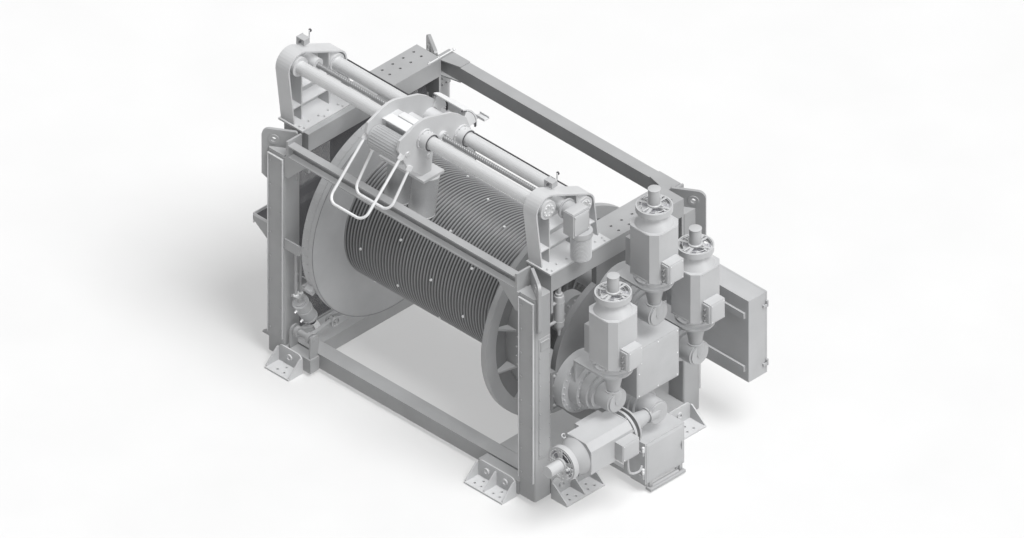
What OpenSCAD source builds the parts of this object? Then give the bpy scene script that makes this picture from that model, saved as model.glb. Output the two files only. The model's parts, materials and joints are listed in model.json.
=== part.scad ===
/* [Frame] */
// Length of the frame over its posts
frame_l = 3304; // [3260:4:3420]
// Depth of the frame over its posts
frame_w = 2041; // [2031:1:2090]
// Side of a square corner post
post_w = 200; // [180:5:210]
// Wall of a post
post_wall = 12; // [8:1:16]
// Rounding of a post's corners
post_round = 20; // [6:1:24]
// Height of a post's underside over the deck
post_foot = 50; // [46:1:60]
// Height of a post's top over the deck
post_top = 2215; // [2205:1:2260]
// Width of the bolted cover plate on a post
cover_w = 172; // [130:2:174]
// Thickness of a cover plate
cover_t = 8; // [5:1:12]
// Wall of the lower beams, rails and girders
beam_wall = 12; // [8:1:16]
// Height of the lower end beams' underside
lower_z = 48; // [46:1:60]
// Depth of section of the lower end beams
lower_h = 152; // [140:1:160]
// Width of the left lower end beam
left_lower_w = 422; // [400:2:440]
// Width of the right lower end beam
right_lower_w = 700; // [660:5:720]
// Depth of the bottom rails, front to back
rail_d = 155; // [120:5:160]
// Height of the bottom rails
rail_h = 150; // [120:2:152]
// Distance of a bottom rail from the frame's face
rail_setback = 111; // [100:1:120]
// Length of the left corner block
left_block_l = 324; // [310:2:360]
// Height of a corner block
block_h = 140; // [120:1:145]
// Width of an upper end girder
girder_w = 300; // [290:2:310]
// Height of an upper end girder
girder_h = 187; // [170:1:200]
// How far a girder's underside lies below the post tops
girder_drop = 10; // [4:1:14]
// Thickness of a girder's end plate
girder_plate_t = 25; // [20:1:30]
// How far a girder's end plate hangs below the girder
girder_plate_drop = 230; // [180:5:260]
// Radius of a hole in a girder's top
girder_hole_r = 13; // [9:0.5:15]
// Pitch of the holes along a girder
girder_hole_pitch = 130; // [110:2:136]
// Distance between the two rows of holes
girder_row_gap = 93; // [80:1:110]
// Distance of the outer row from the girder's outer face
girder_row_edge = 62; // [50:1:80]
// Height of the front top beam's section
channel_h = 132; // [110:2:140]
// Depth of the front top beam's section
channel_d = 80; // [70:1:90]
// Length of a haunch under the front top beam
haunch_l = 220; // [160:5:260]
// Height of a haunch
haunch_h = 260; // [180:5:270]
// Height of the rear top beam's section
rear_beam_h = 145; // [130:1:150]
// Depth of the rear top beam's section
rear_beam_d = 120; // [100:2:130]

/* [Lifting lugs] */
// Thickness of a lug plate
lug_t = 30; // [20:1:32]
// Direction of a lug in plan, from the frame's length
lug_angle = 32; // [30:1:36]
// Reach of a lug outwards from the post's axis
lug_out = 200; // [185:1:220]
// Reach of a lug inwards from the post's axis
lug_in = 122; // [118:1:125]
// Height of a lug over the post's top
lug_rise = 180; // [150:2:190]
// Radius of a lug's hole
lug_hole_r = 25; // [18:0.5:30]
// Rounding of a lug's outer corner
lug_round = 70; // [40:2:80]

/* [Deck feet] */
// Depth of a foot on the front, rear and right sides
foot_d = 180; // [160:2:200]
// Depth of a foot on the left side
left_foot_d = 265; // [250:5:300]
// Width of one bay of a double foot
foot_bay = 228; // [215:1:232]
// Width of the bay of a single foot
single_bay = 282; // [262:2:286]
// Height of a foot's back plate
foot_h = 190; // [180:1:200]
// Thickness of a foot's base
foot_t = 18; // [12:1:22]
// Thickness of a foot's gussets and back plate
foot_web = 14; // [10:1:18]
// Radius of a bolt hole in a foot
foot_hole_r = 13; // [9:0.5:15]
// Diameter of the circle through a bay's three holes
foot_pcd = 92; // [76:2:100]

/* [Drum] */
// Height of the drum's axis over the deck
drum_z = 1285; // [1279:1:1300]
// Outer radius of the flanges
flange_r = 1015; // [1008:1:1016]
// Outer radius of the barrel over its grooves
barrel_r = 617; // [600:1:640]
// Wall of the barrel
barrel_wall = 32; // [24:1:40]
// Distance between the flanges
barrel_l = 2098; // [2070:2:2110]
// Pitch of the rope grooves
groove_pitch = 36; // [32:0.5:40]
// Depth of a rope groove
groove_depth = 9; // [6:0.5:11]
// Distance of the drive flange's inner face from the frame's right face
drive_flange_x = 669; // [660:1:680]
// Thickness of the drive flange's web
flange_web = 25; // [18:1:30]
// Thickness of the drive flange's raised rim
rim_step = 30; // [20:1:40]
// Radial width of the drive flange's raised rim
rim_w = 124; // [100:2:140]
// Outer radius of the gear housing on the drive flange
housing_r = 745; // [740:1:755]
// Wall of the gear housing
housing_wall = 40; // [30:1:42]
// Length of the gear housing
housing_l = 174; // [160:2:190]
// Thickness of the brake flange's disc
brake_disc_t = 45; // [36:1:50]
// Width of the brake path
brake_path_w = 97; // [86:1:100]
// Radius of the brake path
brake_path_r = 985; // [975:1:987]
// Wall of the brake path
brake_path_wall = 50; // [40:1:60]
// Radius of the drum shaft
shaft_r = 90; // [80:1:95]
// Outer radius of a bearing housing
bearing_r = 170; // [150:2:180]
// Length of a bearing housing
bearing_l = 150; // [130:2:160]
// Across-corners radius of a shell bolt's head
shell_bolt_r = 13; // [9:0.5:14]

/* [Gears] */
// Module of the ring gear and the pinions
gear_module = 10; // [9.5:0.25:10.25]
// Number of teeth on the ring gear
ring_teeth = 122; // [122:1:122]
// Number of teeth on a pinion
pinion_teeth = 16; // [16:1:16]
// Face width of the ring gear
ring_face = 130; // [110:2:150]
// Face width of a pinion
pinion_face = 110; // [80:2:112]
// Radius of a pinion's shaft
pinion_shaft_r = 45; // [36:1:50]
// Angle of the side drive units below the level
side_unit_drop = 16.3; // [16:0.1:16.6]

/* [Drive units] */
// Thickness of the drive end plate
drive_plate_t = 60; // [40:2:70]
// Radius of the drive end plate's disc
drive_plate_r = 770; // [750:5:790]
// Radius of the planetary stage
planet_r = 289; // [275:1:292]
// Length of the planetary stage
planet_l = 105; // [95:1:110]
// Radius of the bevel housing
bevel_r = 118; // [108:1:122]
// Distance of the motor axis from the drive end plate
motor_x = 455; // [450:1:465]
// Side of the motor body
motor_w = 360; // [340:2:366]
// Chamfer of the motor body's corners
motor_chamfer = 61; // [50:1:70]
// Height over the gearbox axis where the motor's flange lies
motor_flange_w = 385; // [375:1:395]
// Length of the motor body
motor_body_l = 517; // [480:1:530]
// Length of the cone at the motor's fan end
motor_cone_l = 96; // [80:1:110]
// Radius of the fan guard
guard_r = 166; // [155:1:172]
// Radius of the encoder
encoder_r = 54; // [44:1:60]
// Length of the encoder over the guard
encoder_l = 171; // [140:1:180]
// How far the terminal box stands out
terminal_d = 96; // [80:1:110]
// Width of the terminal box
terminal_w = 175; // [150:1:190]
// Height of the terminal box
terminal_h = 204; // [180:1:220]

/* [Brake] */
// Thickness of the steel band
band_t = 10; // [6:1:12]
// Thickness of the friction lining
lining_t = 8; // [5:0.5:9]
// Width of the brake band
band_w = 82; // [70:1:84]
// Running gap between the lining and the brake path when released
lining_gap = 1.5; // [1:0.25:2.5]
// Outer radius of the actuator
actuator_r = 72; // [60:1:75]
// Radius of the actuator's rod
actuator_rod_r = 22; // [16:1:26]
// Radius of the lever's torque shaft
lever_shaft_r = 28; // [22:1:30]

/* [Level wind] */
// Distance of the front guide shaft from the frame's front
front_shaft_y = 280; // [275:1:290]
// Height of the front guide shaft over the girders
front_shaft_h = 595; // [590:1:605]
// Distance of the rear guide shaft from the frame's front
rear_shaft_y = 735; // [730:1:745]
// Height of the rear guide shaft over the girders
rear_shaft_h = 414; // [410:1:420]
// Radius of the guide shafts
guide_r = 62; // [54:1:64]
// Wall of the guide shafts
guide_wall = 20; // [12:1:24]
// Distance of the lead screw from the frame's front
screw_y = 499; // [495:1:505]
// Height of the lead screw over the girders
screw_h = 511; // [506:1:516]
// Radius of the lead screw
screw_r = 25; // [20:0.5:28]
// Radius of the trip rod
trip_r = 7; // [5:0.5:9]
// Depth of a tower along the drum's axis
tower_d = 160; // [140:2:170]
// Wall of a tower
tower_wall = 16; // [12:1:20]
// Thickness of a tower's base plate
tower_base_t = 18; // [14:1:24]
// Distance between the carriage's side plates
carriage_w = 393; // [380:1:410]
// Thickness of a side plate
carriage_t = 25; // [18:1:30]
// Centre of the carriage at rest, from the frame's right face
carriage_x = 1860; // [1840:1:1880]
// Radius of a guide loop's rod
loop_r = 13; // [9:0.5:15]
// Reach of the upper guide loop along its slope
upper_loop_l = 650; // [560:5:660]
// Reach of the lower guide loop along its slope
lower_loop_l = 420; // [360:5:440]
// Radius of a side roller
side_roller_r = 122; // [110:1:125]
// Length of a side roller
side_roller_l = 395; // [360:1:400]
// Lean of the side rollers towards the drum
side_roller_lean = 9; // [8:0.5:10]
// Free gap between the side rollers
side_roller_gap = 54; // [44:1:64]
// Radius of the upper entry roller
upper_roller_r = 115; // [95:1:118]
// Radius of the lower entry roller
lower_roller_r = 60; // [50:1:66]

/* [Cabinets] */
// Width of the slip ring box
ring_box_w = 520; // [480:5:530]
// Height of the slip ring box
ring_box_h = 514; // [480:2:520]
// Depth of the slip ring box
ring_box_d = 324; // [290:2:340]
// Wall of the cabinets
cabinet_wall = 5; // [3:0.5:8]
// Width of the control cabinet
control_w = 484; // [440:2:500]
// Height of the control cabinet
control_h = 431; // [400:1:434]
// Depth of the control cabinet
control_d = 242; // [220:2:260]
// Width of the power cabinet
power_w = 702; // [640:2:720]
// Height of the power cabinet
power_h = 867; // [800:1:900]
// Depth of the power cabinet
power_d = 209; // [180:1:240]
// Thickness of a cabinet door
door_t = 20; // [12:1:24]
// Radius of a door's hinge pin
hinge_pin_r = 6; // [4:0.5:7]

/* [Fits] */
// Radial clearance of a fixed shaft in its seat
seat_fit = 0.3; // [0.1:0.05:0.5]
// Radial clearance of a turning or sliding fit
run_fit = 0.08; // [0.03:0.01:0.1]
// Side clearance of a turning roller
side_gap = 4; // [2:0.5:6]

/* [Hidden] */
$fn = 72;

frame_grey = "#b9bcbe";
plate_grey = "#a8abad";
dark_grey = "#5f6365";
steel = "#d5d8da";
white = "#eceeef";

left = -frame_l;
mid_y = frame_w / 2;
post_xs = [left, -post_w];
post_ys = [0, frame_w - post_w];
post_in_l = left + post_w;
lower_top = lower_z + lower_h;
left_block_x = post_in_l + left_block_l;
girder_z = post_top - girder_drop;
girder_top = girder_z + girder_h;

shelf_d = 186;
cabinet_rail = 30;

// Corner signs: left and right, front and rear
corners = [for (sx = [-1, 1]) for (sy = [-1, 1]) [sx, sy]];

// Positions of the guide shafts, screw and trip rod in the side view
front_shaft = [front_shaft_y, girder_top + front_shaft_h];
rear_shaft = [rear_shaft_y, girder_top + rear_shaft_h];
screw_pos = [screw_y, girder_top + screw_h];
trip_pos = rear_shaft + [149, -50];

// Drum, from right to left
drive_face = -drive_flange_x;
brake_face = drive_face - barrel_l;
brake_out = brake_face - brake_disc_t - brake_path_w;
drum_pos = [mid_y, drum_z];
drive_plate_x = -drive_plate_t;
idle_plate_t = 50;
idle_plate_x = left + post_w / 2 - idle_plate_t / 2;
plate_bore_r = 120;
bearing_flange_r = 230;
bearing_flange_t = 30;
hub_r = 200;
shaft_end_x = 150;

// Gears: the ring has spaces at multiples of its pitch angle
ring_pitch_r = gear_module * ring_teeth / 2;
pinion_pitch_r = gear_module * pinion_teeth / 2;
gear_distance = ring_pitch_r - pinion_pitch_r;
pressure = 20;
unit_angles = [180 + side_unit_drop, 90, -side_unit_drop, -90];
unit_turns = [0, 0, 0, 90];
ring_r = housing_r - housing_wall - seat_fit;
ring_x = drive_face + flange_web;
pinion_x = ring_x + 24;
nose_r = 110;
nose_end_x = -430;
nose_bore = 100;

// Drive units, heights from the gearbox axis
stage_r = [planet_r, 210, 175, 149];
stage_x = [0, planet_l, 210, 289, 333];
neck_z = [105, 263];
neck_r = [57, 88];
bracket_z = 325;
bracket_t = 20;
bracket_x = 140;
bracket_half = 175;
motor_flange_t = 26;
motor_spacer_l = 35;
body_z = motor_flange_w + motor_flange_t + motor_spacer_l;
cone_z = body_z + motor_body_l;
neck_top_z = cone_z + motor_cone_l;
motor_neck_l = 52;
motor_top = neck_top_z + motor_neck_l;
motor_neck_r = 109;
fan_shaft_r = 12;
guard_wall = 16;
guard_z = motor_top - 16;
guard_h = 55;

// Level wind
tower_x = [left - 38, -276];
tower_front_r = 150;
tower_rear_r = 120;
tower_foot = [200, 910];
plate_x = [-carriage_x - carriage_w / 2 - carriage_t / 2, -carriage_x + carriage_w / 2 - carriage_t / 2];
inner_x = [plate_x[0] + carriage_t, plate_x[1]];
outer_x = [plate_x[0], plate_x[1] + carriage_t];
bush_r = 84;
bush_out = 94;
nut_r = 56;
upper_roller = front_shaft + [-210, -62];
lower_roller = front_shaft + [50, -207];
roller_axle_r = 16;
side_axle_r = 20;
hanger_z = girder_top + 182;
hanger_t = 25;
hanger_y = [205, 460];
roller_top = [366, hanger_z - 25];
loop_block = 50;
upper_loop_root = front_shaft + [-300, -41];
lower_loop_root = front_shaft + [-196, -214];
upper_loop_slope = 45;
lower_loop_slope = 54;

// Brake
band_in = brake_path_r + lining_gap + lining_t;
band_x = brake_out + 5;
band_mid_x = band_x + band_w / 2;
band_from = -120;
band_to = 206;
pivot = [75, lower_top + 146];
lever_tip = [360, lower_top + 195];
actuator_x = post_in_l + 99;
actuator_top = [75, lower_top + 500];
actuator_lean = 28;
actuator_l = 300;
rod_l = 112;
anchor_pin_r = 12;
anchor_pos = drum_pos + (band_in + band_t + 29) * [cos(band_to), sin(band_to)]
    + 30 * [sin(band_to), -cos(band_to)];

// Cabinets
control_pos = [280, mid_y - 200, 103];
power_pos = [-130, frame_w + cabinet_rail, 590];
ring_box_x = 175;

// Limits of the whole winch, with the tip of the upper guide loop and the power cabinet's door
box_left = left - max(shelf_d, left_foot_d);
box_right = motor_x + motor_w / 2 + terminal_d;
loop_reach = upper_loop_root[0] - upper_loop_l * cos(upper_loop_slope) - loop_r;
power_back = frame_w + cabinet_rail + power_d + door_t + 12;

// Points of an arc, for outlines
function arc(c, r, a0, a1, n = 8) =
    [for (i = [0:n]) c + r * [cos(a0 + (a1 - a0) * i / n), sin(a0 + (a1 - a0) * i / n)]];

// Outline of a rectangle with rounded corners, centred
function rounded(w, h, r) = [for (k = [0:3]) each
    arc([(k == 0 || k == 3 ? 1 : -1) * (w / 2 - r), (k < 2 ? 1 : -1) * (h / 2 - r)],
        r, 90 * k, 90 * k + 90, 4)];

// Moves the frame's own measures to the model's origin
module placed() {
    translate([-(box_left + box_right) / 2, -(loop_reach + power_back) / 2, 0]) children();
}

module block(low, high) {
    translate(low) cube(high - low);
}

// Extrudes a side view, drawn in depth and height, from x0 to x1
module side_slab(x0, x1) {
    translate([x0, 0, 0]) rotate([90, 0, 90]) linear_extrude(x1 - x0) children();
}

// Extrudes a front view, drawn in length and height, from y0 to y1
module front_slab(y0, y1) {
    translate([0, y1, 0]) rotate([90, 0, 0]) linear_extrude(y1 - y0) children();
}

// Round bar along the length at a point of the side view
module bar(x0, x1, r, at = [0, 0]) {
    translate([x0, at[0], at[1]]) rotate([0, 90, 0]) cylinder(h = x1 - x0, r = r);
}

module ring(x0, x1, r_out, r_in, at = [0, 0]) {
    difference() {
        bar(x0, x1, r_out, at);
        bar(x0 - 1, x1 + 1, r_in, at);
    }
}

// Hollow rectangular section along y, open at its ends
module box_section(low, high, wall) {
    difference() {
        block(low, high);
        block([low[0] + wall, low[1] - 1, low[2] + wall], [high[0] - wall, high[1] + 1, high[2] - wall]);
    }
}

module hex_head(r, h) {
    cylinder(h = h, r = r, $fn = 6);
}

module lug_at(corner) {
    sx = corner[0];
    sy = corner[1];
    translate([sx < 0 ? left + post_w / 2 : -post_w / 2, sy < 0 ? post_w / 2 : frame_w - post_w / 2, 0])
        rotate([0, 0, atan2(sy * sin(lug_angle), sx * cos(lug_angle))])
            children();
}

function lug_outline() = concat(
    [[lug_out, post_top - 300], [lug_out - 60, post_top - 360], [-lug_in + 25, post_top - 360],
     [-lug_in, post_top - 335], [-lug_in, post_top + lug_rise - 15], [-lug_in + 15, post_top + lug_rise]],
    arc([lug_out - lug_round, post_top + lug_rise - lug_round], lug_round, 90, 0));

lug_hole_at = [90, post_top + 79];

module lug_plate() {
    front_slab(-lug_t / 2, lug_t / 2) polygon(lug_outline());
}

module corner_posts() placed() color(frame_grey)
    difference() {
        for (x = post_xs, y = post_ys)
            translate([x + post_w / 2, y + post_w / 2, post_foot]) difference() {
                linear_extrude(post_top - post_foot) polygon(rounded(post_w, post_w, post_round));
                translate([0, 0, -1]) linear_extrude(post_top - post_foot - post_wall + 1)
                    polygon(rounded(post_w - 2 * post_wall, post_w - 2 * post_wall, post_round / 2));
            }
        for (c = corners) lug_at(c) lug_plate();
    }

module post_covers() placed() color(frame_grey)
    for (x = post_xs, y = [-cover_t, frame_w])
        block([x + (post_w - cover_w) / 2, y, post_foot + 200],
            [x + (post_w + cover_w) / 2, y + cover_t, post_top - 50]);

module lower_beam(x0, x1) {
    difference() {
        union() {
            block([x0, rail_setback + rail_d, lower_z], [x1, frame_w - rail_setback - rail_d, lower_top]);
            post_x = x1 == 0 ? -post_w : x0;
            block([post_x, post_w, lower_z], [post_x + post_w, frame_w - post_w, lower_top]);
        }
        block([x0 + beam_wall, 0, lower_z + beam_wall], [x1 - beam_wall, frame_w, lower_top - beam_wall]);
    }
}

module lower_end_beams() placed() color(frame_grey) {
    lower_beam(left, left + left_lower_w);
    lower_beam(-right_lower_w, 0);
}

module bottom_rails() placed() color(frame_grey)
    for (y = [rail_setback, frame_w - rail_setback - rail_d])
        difference() {
            block([post_in_l, y, lower_z], [-post_w, y + rail_d, lower_z + rail_h]);
            block([post_in_l - 1, y + beam_wall, lower_z + beam_wall],
                [-post_w + 1, y + rail_d - beam_wall, lower_z + rail_h - beam_wall]);
        }

// The blocks close the corners in front of the rails; the right ones carry a row of holes
module corner_blocks() placed() color(frame_grey)
    for (y0 = [0, frame_w - rail_setback]) {
        block_z = lower_z - 10;
        difference() {
            for (x = [[post_in_l, left_block_x], [-right_lower_w, -post_w]])
                block([x[0], y0, block_z], [x[1], y0 + rail_setback, block_z + block_h]);
            for (x = [[post_in_l, left_block_x], [-right_lower_w, -post_w]])
                block([x[0] + beam_wall, y0 + beam_wall, block_z - 1],
                    [x[1] - beam_wall, y0 + rail_setback - beam_wall, block_z + block_h - beam_wall]);
        }
    }

// Positions of a girder's holes along its length: the left girder has fewer
girder_holes = [[1350, 4], [1094, 6]];

module upper_end_girders() placed() color(plate_grey)
    for (side = [0, 1]) {
        x0 = side == 0 ? left : -girder_w;
        row_x = side == 0 ? [x0 + girder_row_edge, x0 + girder_row_edge + girder_row_gap]
            : [-girder_row_edge, -girder_row_edge - girder_row_gap];
        difference() {
            union() {
                box_section([x0, post_w, girder_z], [x0 + girder_w, frame_w - post_w, girder_top], beam_wall);
                for (y = [post_w, frame_w - post_w - girder_plate_t])
                    block([x0, y, girder_z - girder_plate_drop], [x0 + girder_w, y + girder_plate_t, girder_top]);
            }
            for (x = row_x, i = [0:girder_holes[side][1] - 1])
                translate([x, girder_holes[side][0] + girder_hole_pitch * i, girder_top - beam_wall - 1])
                    cylinder(h = beam_wall + 2, r = girder_hole_r);
        }
    }

// Channel open to the front, with end plates, spacers and haunches
module front_top_beam() placed() color(frame_grey) {
    plate_t = 22;
    spacer = 24;
    x0 = post_in_l + spacer + plate_t;
    x1 = -post_w - spacer - plate_t;
    z0 = post_top;
    block([x0, channel_d - beam_wall, z0], [x1, channel_d, z0 + channel_h]);
    for (z = [z0, z0 + channel_h - beam_wall])
        block([x0, 0, z], [x1, channel_d, z + beam_wall]);
    for (x = [x0 - plate_t, x1])
        block([x, 0, z0 - 220], [x + plate_t, post_w - 25, z0 + 170]);
    for (x = [post_in_l, -post_w - spacer])
        block([x, 0, z0 - 215], [x + spacer, 130, z0 - 15]);
    front_slab(0, beam_wall) {
        polygon([[x0, z0], [x0 + haunch_l, z0], [x0, z0 - haunch_h + 42]]);
        polygon([[x1, z0], [x1 - haunch_l, z0], [x1, z0 - haunch_h + 42]]);
    }
}

module rear_top_beam() placed() color(frame_grey) {
    plate_t = 20;
    y1 = frame_w - 20;
    x0 = post_in_l + plate_t;
    x1 = -post_w - plate_t;
    z0 = post_top - 15;
    difference() {
        block([x0, y1 - rear_beam_d, z0], [x1, y1, z0 + rear_beam_h]);
        block([x0 - 1, y1 - rear_beam_d + beam_wall, z0 + beam_wall],
            [x1 + 1, y1 - beam_wall, z0 + rear_beam_h - beam_wall]);
    }
    for (x = [x0 - plate_t, x1])
        block([x, frame_w - 131, z0 - 200], [x + plate_t, frame_w, z0 + rear_beam_h]);
    for (z = [z0 - 12, z0 + rear_beam_h]) translate([0, 0, z]) linear_extrude(12) {
        polygon([[x0, frame_w - post_w + 2], [x0 + 260, y1 - rear_beam_d], [x0 + 260, y1], [x0, y1]]);
        polygon([[x1, frame_w - post_w + 2], [x1 - 260, y1 - rear_beam_d], [x1 - 260, y1], [x1, y1]]);
    }
}

module lifting_lugs() placed() color(frame_grey)
    for (c = corners) lug_at(c) difference() {
        union() {
            lug_plate();
            translate([lug_hole_at[0], 0, lug_hole_at[1]]) rotate([90, 0, 0])
                cylinder(h = lug_t + 16, r = 2 * lug_hole_r, center = true);
        }
        translate([lug_hole_at[0], 0, lug_hole_at[1]]) rotate([90, 0, 0])
            cylinder(h = lug_t + 20, r = lug_hole_r, center = true);
    }

// A foot stands against the wall at y = 0 and reaches forwards to y = -depth
module foot(bays, depth) {
    bay = bays == 1 ? single_bay : foot_bay;
    w = bays * bay + foot_web;
    difference() {
        block([0, -depth, 0], [w, 0, foot_t]);
        for (b = [0:bays - 1], a = [-150, -30, 90])
            translate([foot_web / 2 + bay * (b + 0.5) + foot_pcd / 2 * cos(a),
                foot_hole_off - depth + foot_pcd / 2 * sin(a), -1])
                cylinder(h = foot_t + 2, r = foot_hole_r);
    }
    front_slab(-foot_web, 0) polygon(concat([[0, foot_t], [w, foot_t]],
        arc([w - 60, foot_h - 60], 60, 0, 90, 5), arc([60, foot_h - 60], 60, 90, 180, 5)));
    for (b = [0:bays])
        side_slab(b * bay, b * bay + foot_web)
            polygon([[-foot_web, foot_t], [-foot_web, foot_h - 28], [-foot_web - 18, foot_h - 28],
                [-depth + 12, foot_t + 14], [-depth + 12, foot_t]]);
    for (b = [0:bays - 1])
        translate([foot_web / 2 + bay * (b + 0.5), -foot_web, foot_h * 0.55]) rotate([90, 0, 0])
            difference() {
                cylinder(h = 16, r = 34);
                translate([0, 0, -1]) cylinder(h = 20, r = 18);
            }
}

single_w = single_bay + foot_web;
double_w = 2 * foot_bay + foot_web;
foot_hole_off = 76;

// Feet: place, turn about z, number of bays and depth
feet = [
    [[post_in_l - 64, 0], 0, 1, foot_d],
    [[-right_lower_w - 2, 0], 0, 2, foot_d],
    [[0, post_w - 3], 90, 2, foot_d + 20],
    [[0, frame_w - post_w + 80 - single_w], 90, 1, foot_d + 20],
    [[post_in_l - 64 + single_w, frame_w], 180, 1, foot_d],
    [[-right_lower_w - 2 + double_w, frame_w], 180, 2, foot_d],
    [[left, post_w - 3 + double_w], -90, 2, left_foot_d],
    [[left, frame_w - post_w + 80], -90, 1, left_foot_d]
];

module deck_feet() placed() color(plate_grey)
    for (f = feet) translate([f[0][0], f[0][1], 0]) rotate([0, 0, f[1]]) foot(f[2], f[3]);

module frame_bolts() placed() color(steel) {
    for (x = post_xs, dx = [-1, 1], i = [0:7]) {
        z = post_foot + 260 + i * (post_top - post_foot - 380) / 7;
        at_x = x + post_w / 2 + dx * (cover_w / 2 - 22);
        translate([at_x, -cover_t, z]) rotate([90, 0, 0]) hex_head(9, 7);
        translate([at_x, frame_w + cover_t, z]) rotate([-90, 0, 0]) hex_head(9, 7);
    }
    for (x0 = [left, -girder_w], i = [0:3], z = [55, 125])
        translate([x0 + 48 + i * (girder_w - 96) / 3, post_w + girder_plate_t, girder_z - girder_plate_drop + z])
            rotate([-90, 0, 0]) hex_head(15, 12);
}

// Position of a drive unit's axis in the side view
function unit_pos(i) = drum_pos + gear_distance * [cos(unit_angles[i]), sin(unit_angles[i])];

module drive_end_plate() placed() color(plate_grey)
    difference() {
        union() {
            intersection() {
                union() {
                    bar(drive_plate_x, 0, drive_plate_r, drum_pos);
                    for (i = [0:3]) bar(drive_plate_x, 0, planet_r + 11, unit_pos(i));
                }
                block([drive_plate_x, post_w, 0], [0, frame_w - post_w, girder_z]);
            }
            block([drive_plate_x, mid_y - 260, lower_top], [0, mid_y + 260, girder_z]);
            block([drive_plate_x, post_w, unit_pos(0)[1] - 200],
                [0, frame_w - post_w, unit_pos(0)[1] + 200]);
        }
        bar(drive_plate_x - 1, 1, plate_bore_r, drum_pos);
        for (i = [0:3]) bar(drive_plate_x - 1, 1, nose_r + seat_fit, unit_pos(i));
    }

module idle_end_plate() placed() color(plate_grey) {
    x1 = idle_plate_x + idle_plate_t;
    difference() {
        union() {
            bar(idle_plate_x, x1, 520, drum_pos);
            block([idle_plate_x, mid_y - 330, lower_top], [x1, mid_y + 330, girder_z]);
            block([idle_plate_x, post_w, drum_z - 240], [x1, frame_w - post_w, drum_z + 240]);
            for (s = [-1, 1]) {
                block([idle_plate_x - 50, mid_y + s * 250 - 10, lower_top],
                    [idle_plate_x, mid_y + s * 250 + 10, girder_z]);
                block([idle_plate_x - 50, post_w, drum_z + s * 200 - 10],
                    [idle_plate_x, frame_w - post_w, drum_z + s * 200 + 10]);
            }
        }
        bar(idle_plate_x - 1, x1 + 1, plate_bore_r, drum_pos);
    }
}

module side_shelf() placed() color(frame_grey) {
    shelf_z = 1225;
    shelf_h = 165;
    block([left - shelf_d, 0, shelf_z + shelf_h - 12], [left, frame_w, shelf_z + shelf_h]);
    block([left - 12, 0, shelf_z], [left, frame_w, shelf_z + shelf_h - 12]);
    for (i = [0:3])
        front_slab(i * (frame_w - 10) / 3, i * (frame_w - 10) / 3 + 10)
            polygon([[left - 12, shelf_z], [left - 12, shelf_z + shelf_h - 12],
                [left - shelf_d, shelf_z + shelf_h - 12], [left - shelf_d, shelf_z + shelf_h - 40]]);
}

// One groove of the barrel as points from crest to crest
function groove(x) = [for (p = [[0.1, 0], [0.28, 0.7], [0.5, 1], [0.72, 0.7], [0.9, 0]])
    [x + p[0] * groove_pitch, barrel_r - p[1] * groove_depth]];

groove_count = floor((barrel_l - 8) / groove_pitch);
groove_start = (barrel_l - groove_count * groove_pitch) / 2;

// Flat seats of the shell bolts, sunk to the bottom of the grooves
seat_r = barrel_r - groove_depth - 0.5;

module at_shell_bolts() {
    for (i = [0:4], j = [0:7])
        translate([brake_face + groove_start + (floor((i + 0.5) * groove_count / 5) + 0.5) * groove_pitch,
            drum_pos[0], drum_pos[1]])
            rotate([45 * j + 18 * i, 0, 0]) translate([0, 0, seat_r]) children();
}

module drum_barrel() placed() color(dark_grey) difference() {
    translate([brake_face, drum_pos[0], drum_pos[1]]) rotate([0, 90, 0]) rotate_extrude()
        polygon([for (p = concat([[0, barrel_r - barrel_wall], [0, barrel_r]],
            [for (i = [0:groove_count - 1]) each groove(groove_start + i * groove_pitch)],
            [[barrel_l, barrel_r], [barrel_l, barrel_r - barrel_wall]])) [p[1], p[0]]]);
    at_shell_bolts() cylinder(h = 20, r = shell_bolt_r + 3);
}

module brake_flange() placed() color(frame_grey) {
    disc_x = brake_face - brake_disc_t;
    difference() {
        union() {
            bar(disc_x, brake_face, flange_r, drum_pos);
            ring(brake_out, disc_x, brake_path_r, brake_path_r - brake_path_wall, drum_pos);
            bar(brake_out, disc_x, hub_r, drum_pos);
            for (i = [0:7]) translate([0, drum_pos[0], drum_pos[1]]) rotate([45 * i, 0, 0])
                block([disc_x - 70, hub_r - 10, -10], [disc_x, brake_path_r - brake_path_wall + 10, 10]);
        }
        bar(brake_out - 1, brake_face + 1, shaft_r + seat_fit, drum_pos);
    }
}

module drive_flange() placed() color(frame_grey) {
    web_x = drive_face + flange_web;
    in_r = flange_r - rim_w;
    difference() {
        union() {
            bar(drive_face, web_x, flange_r, drum_pos);
            ring(web_x, web_x + rim_step, flange_r, in_r, drum_pos);
            ring(web_x, web_x + housing_l, housing_r, housing_r - housing_wall, drum_pos);
            bar(web_x, web_x + 110, hub_r, drum_pos);
            for (i = [0:11]) translate([0, drum_pos[0], drum_pos[1]]) rotate([30 * i + 15, 0, 0])
                translate([0, 0, -9]) linear_extrude(18)
                    polygon([[web_x - 1, housing_r - 10], [web_x - 1, in_r + 10], [web_x + rim_step, in_r + 10],
                        [web_x + rim_step + 90, housing_r - 10]]);
        }
        bar(drive_face - 1, web_x + 120, shaft_r + seat_fit, drum_pos);
    }
}

// Involute point at a roll angle in degrees, on a base circle
function involute(base, roll) = base * [cos(roll) + roll * PI / 180 * sin(roll),
    sin(roll) - roll * PI / 180 * cos(roll)];
function roll_at(base, r) = sqrt(max(0, pow(r / base, 2) - 1)) * 180 / PI;
function polar(p) = [norm(p), atan2(p[1], p[0])];

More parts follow.
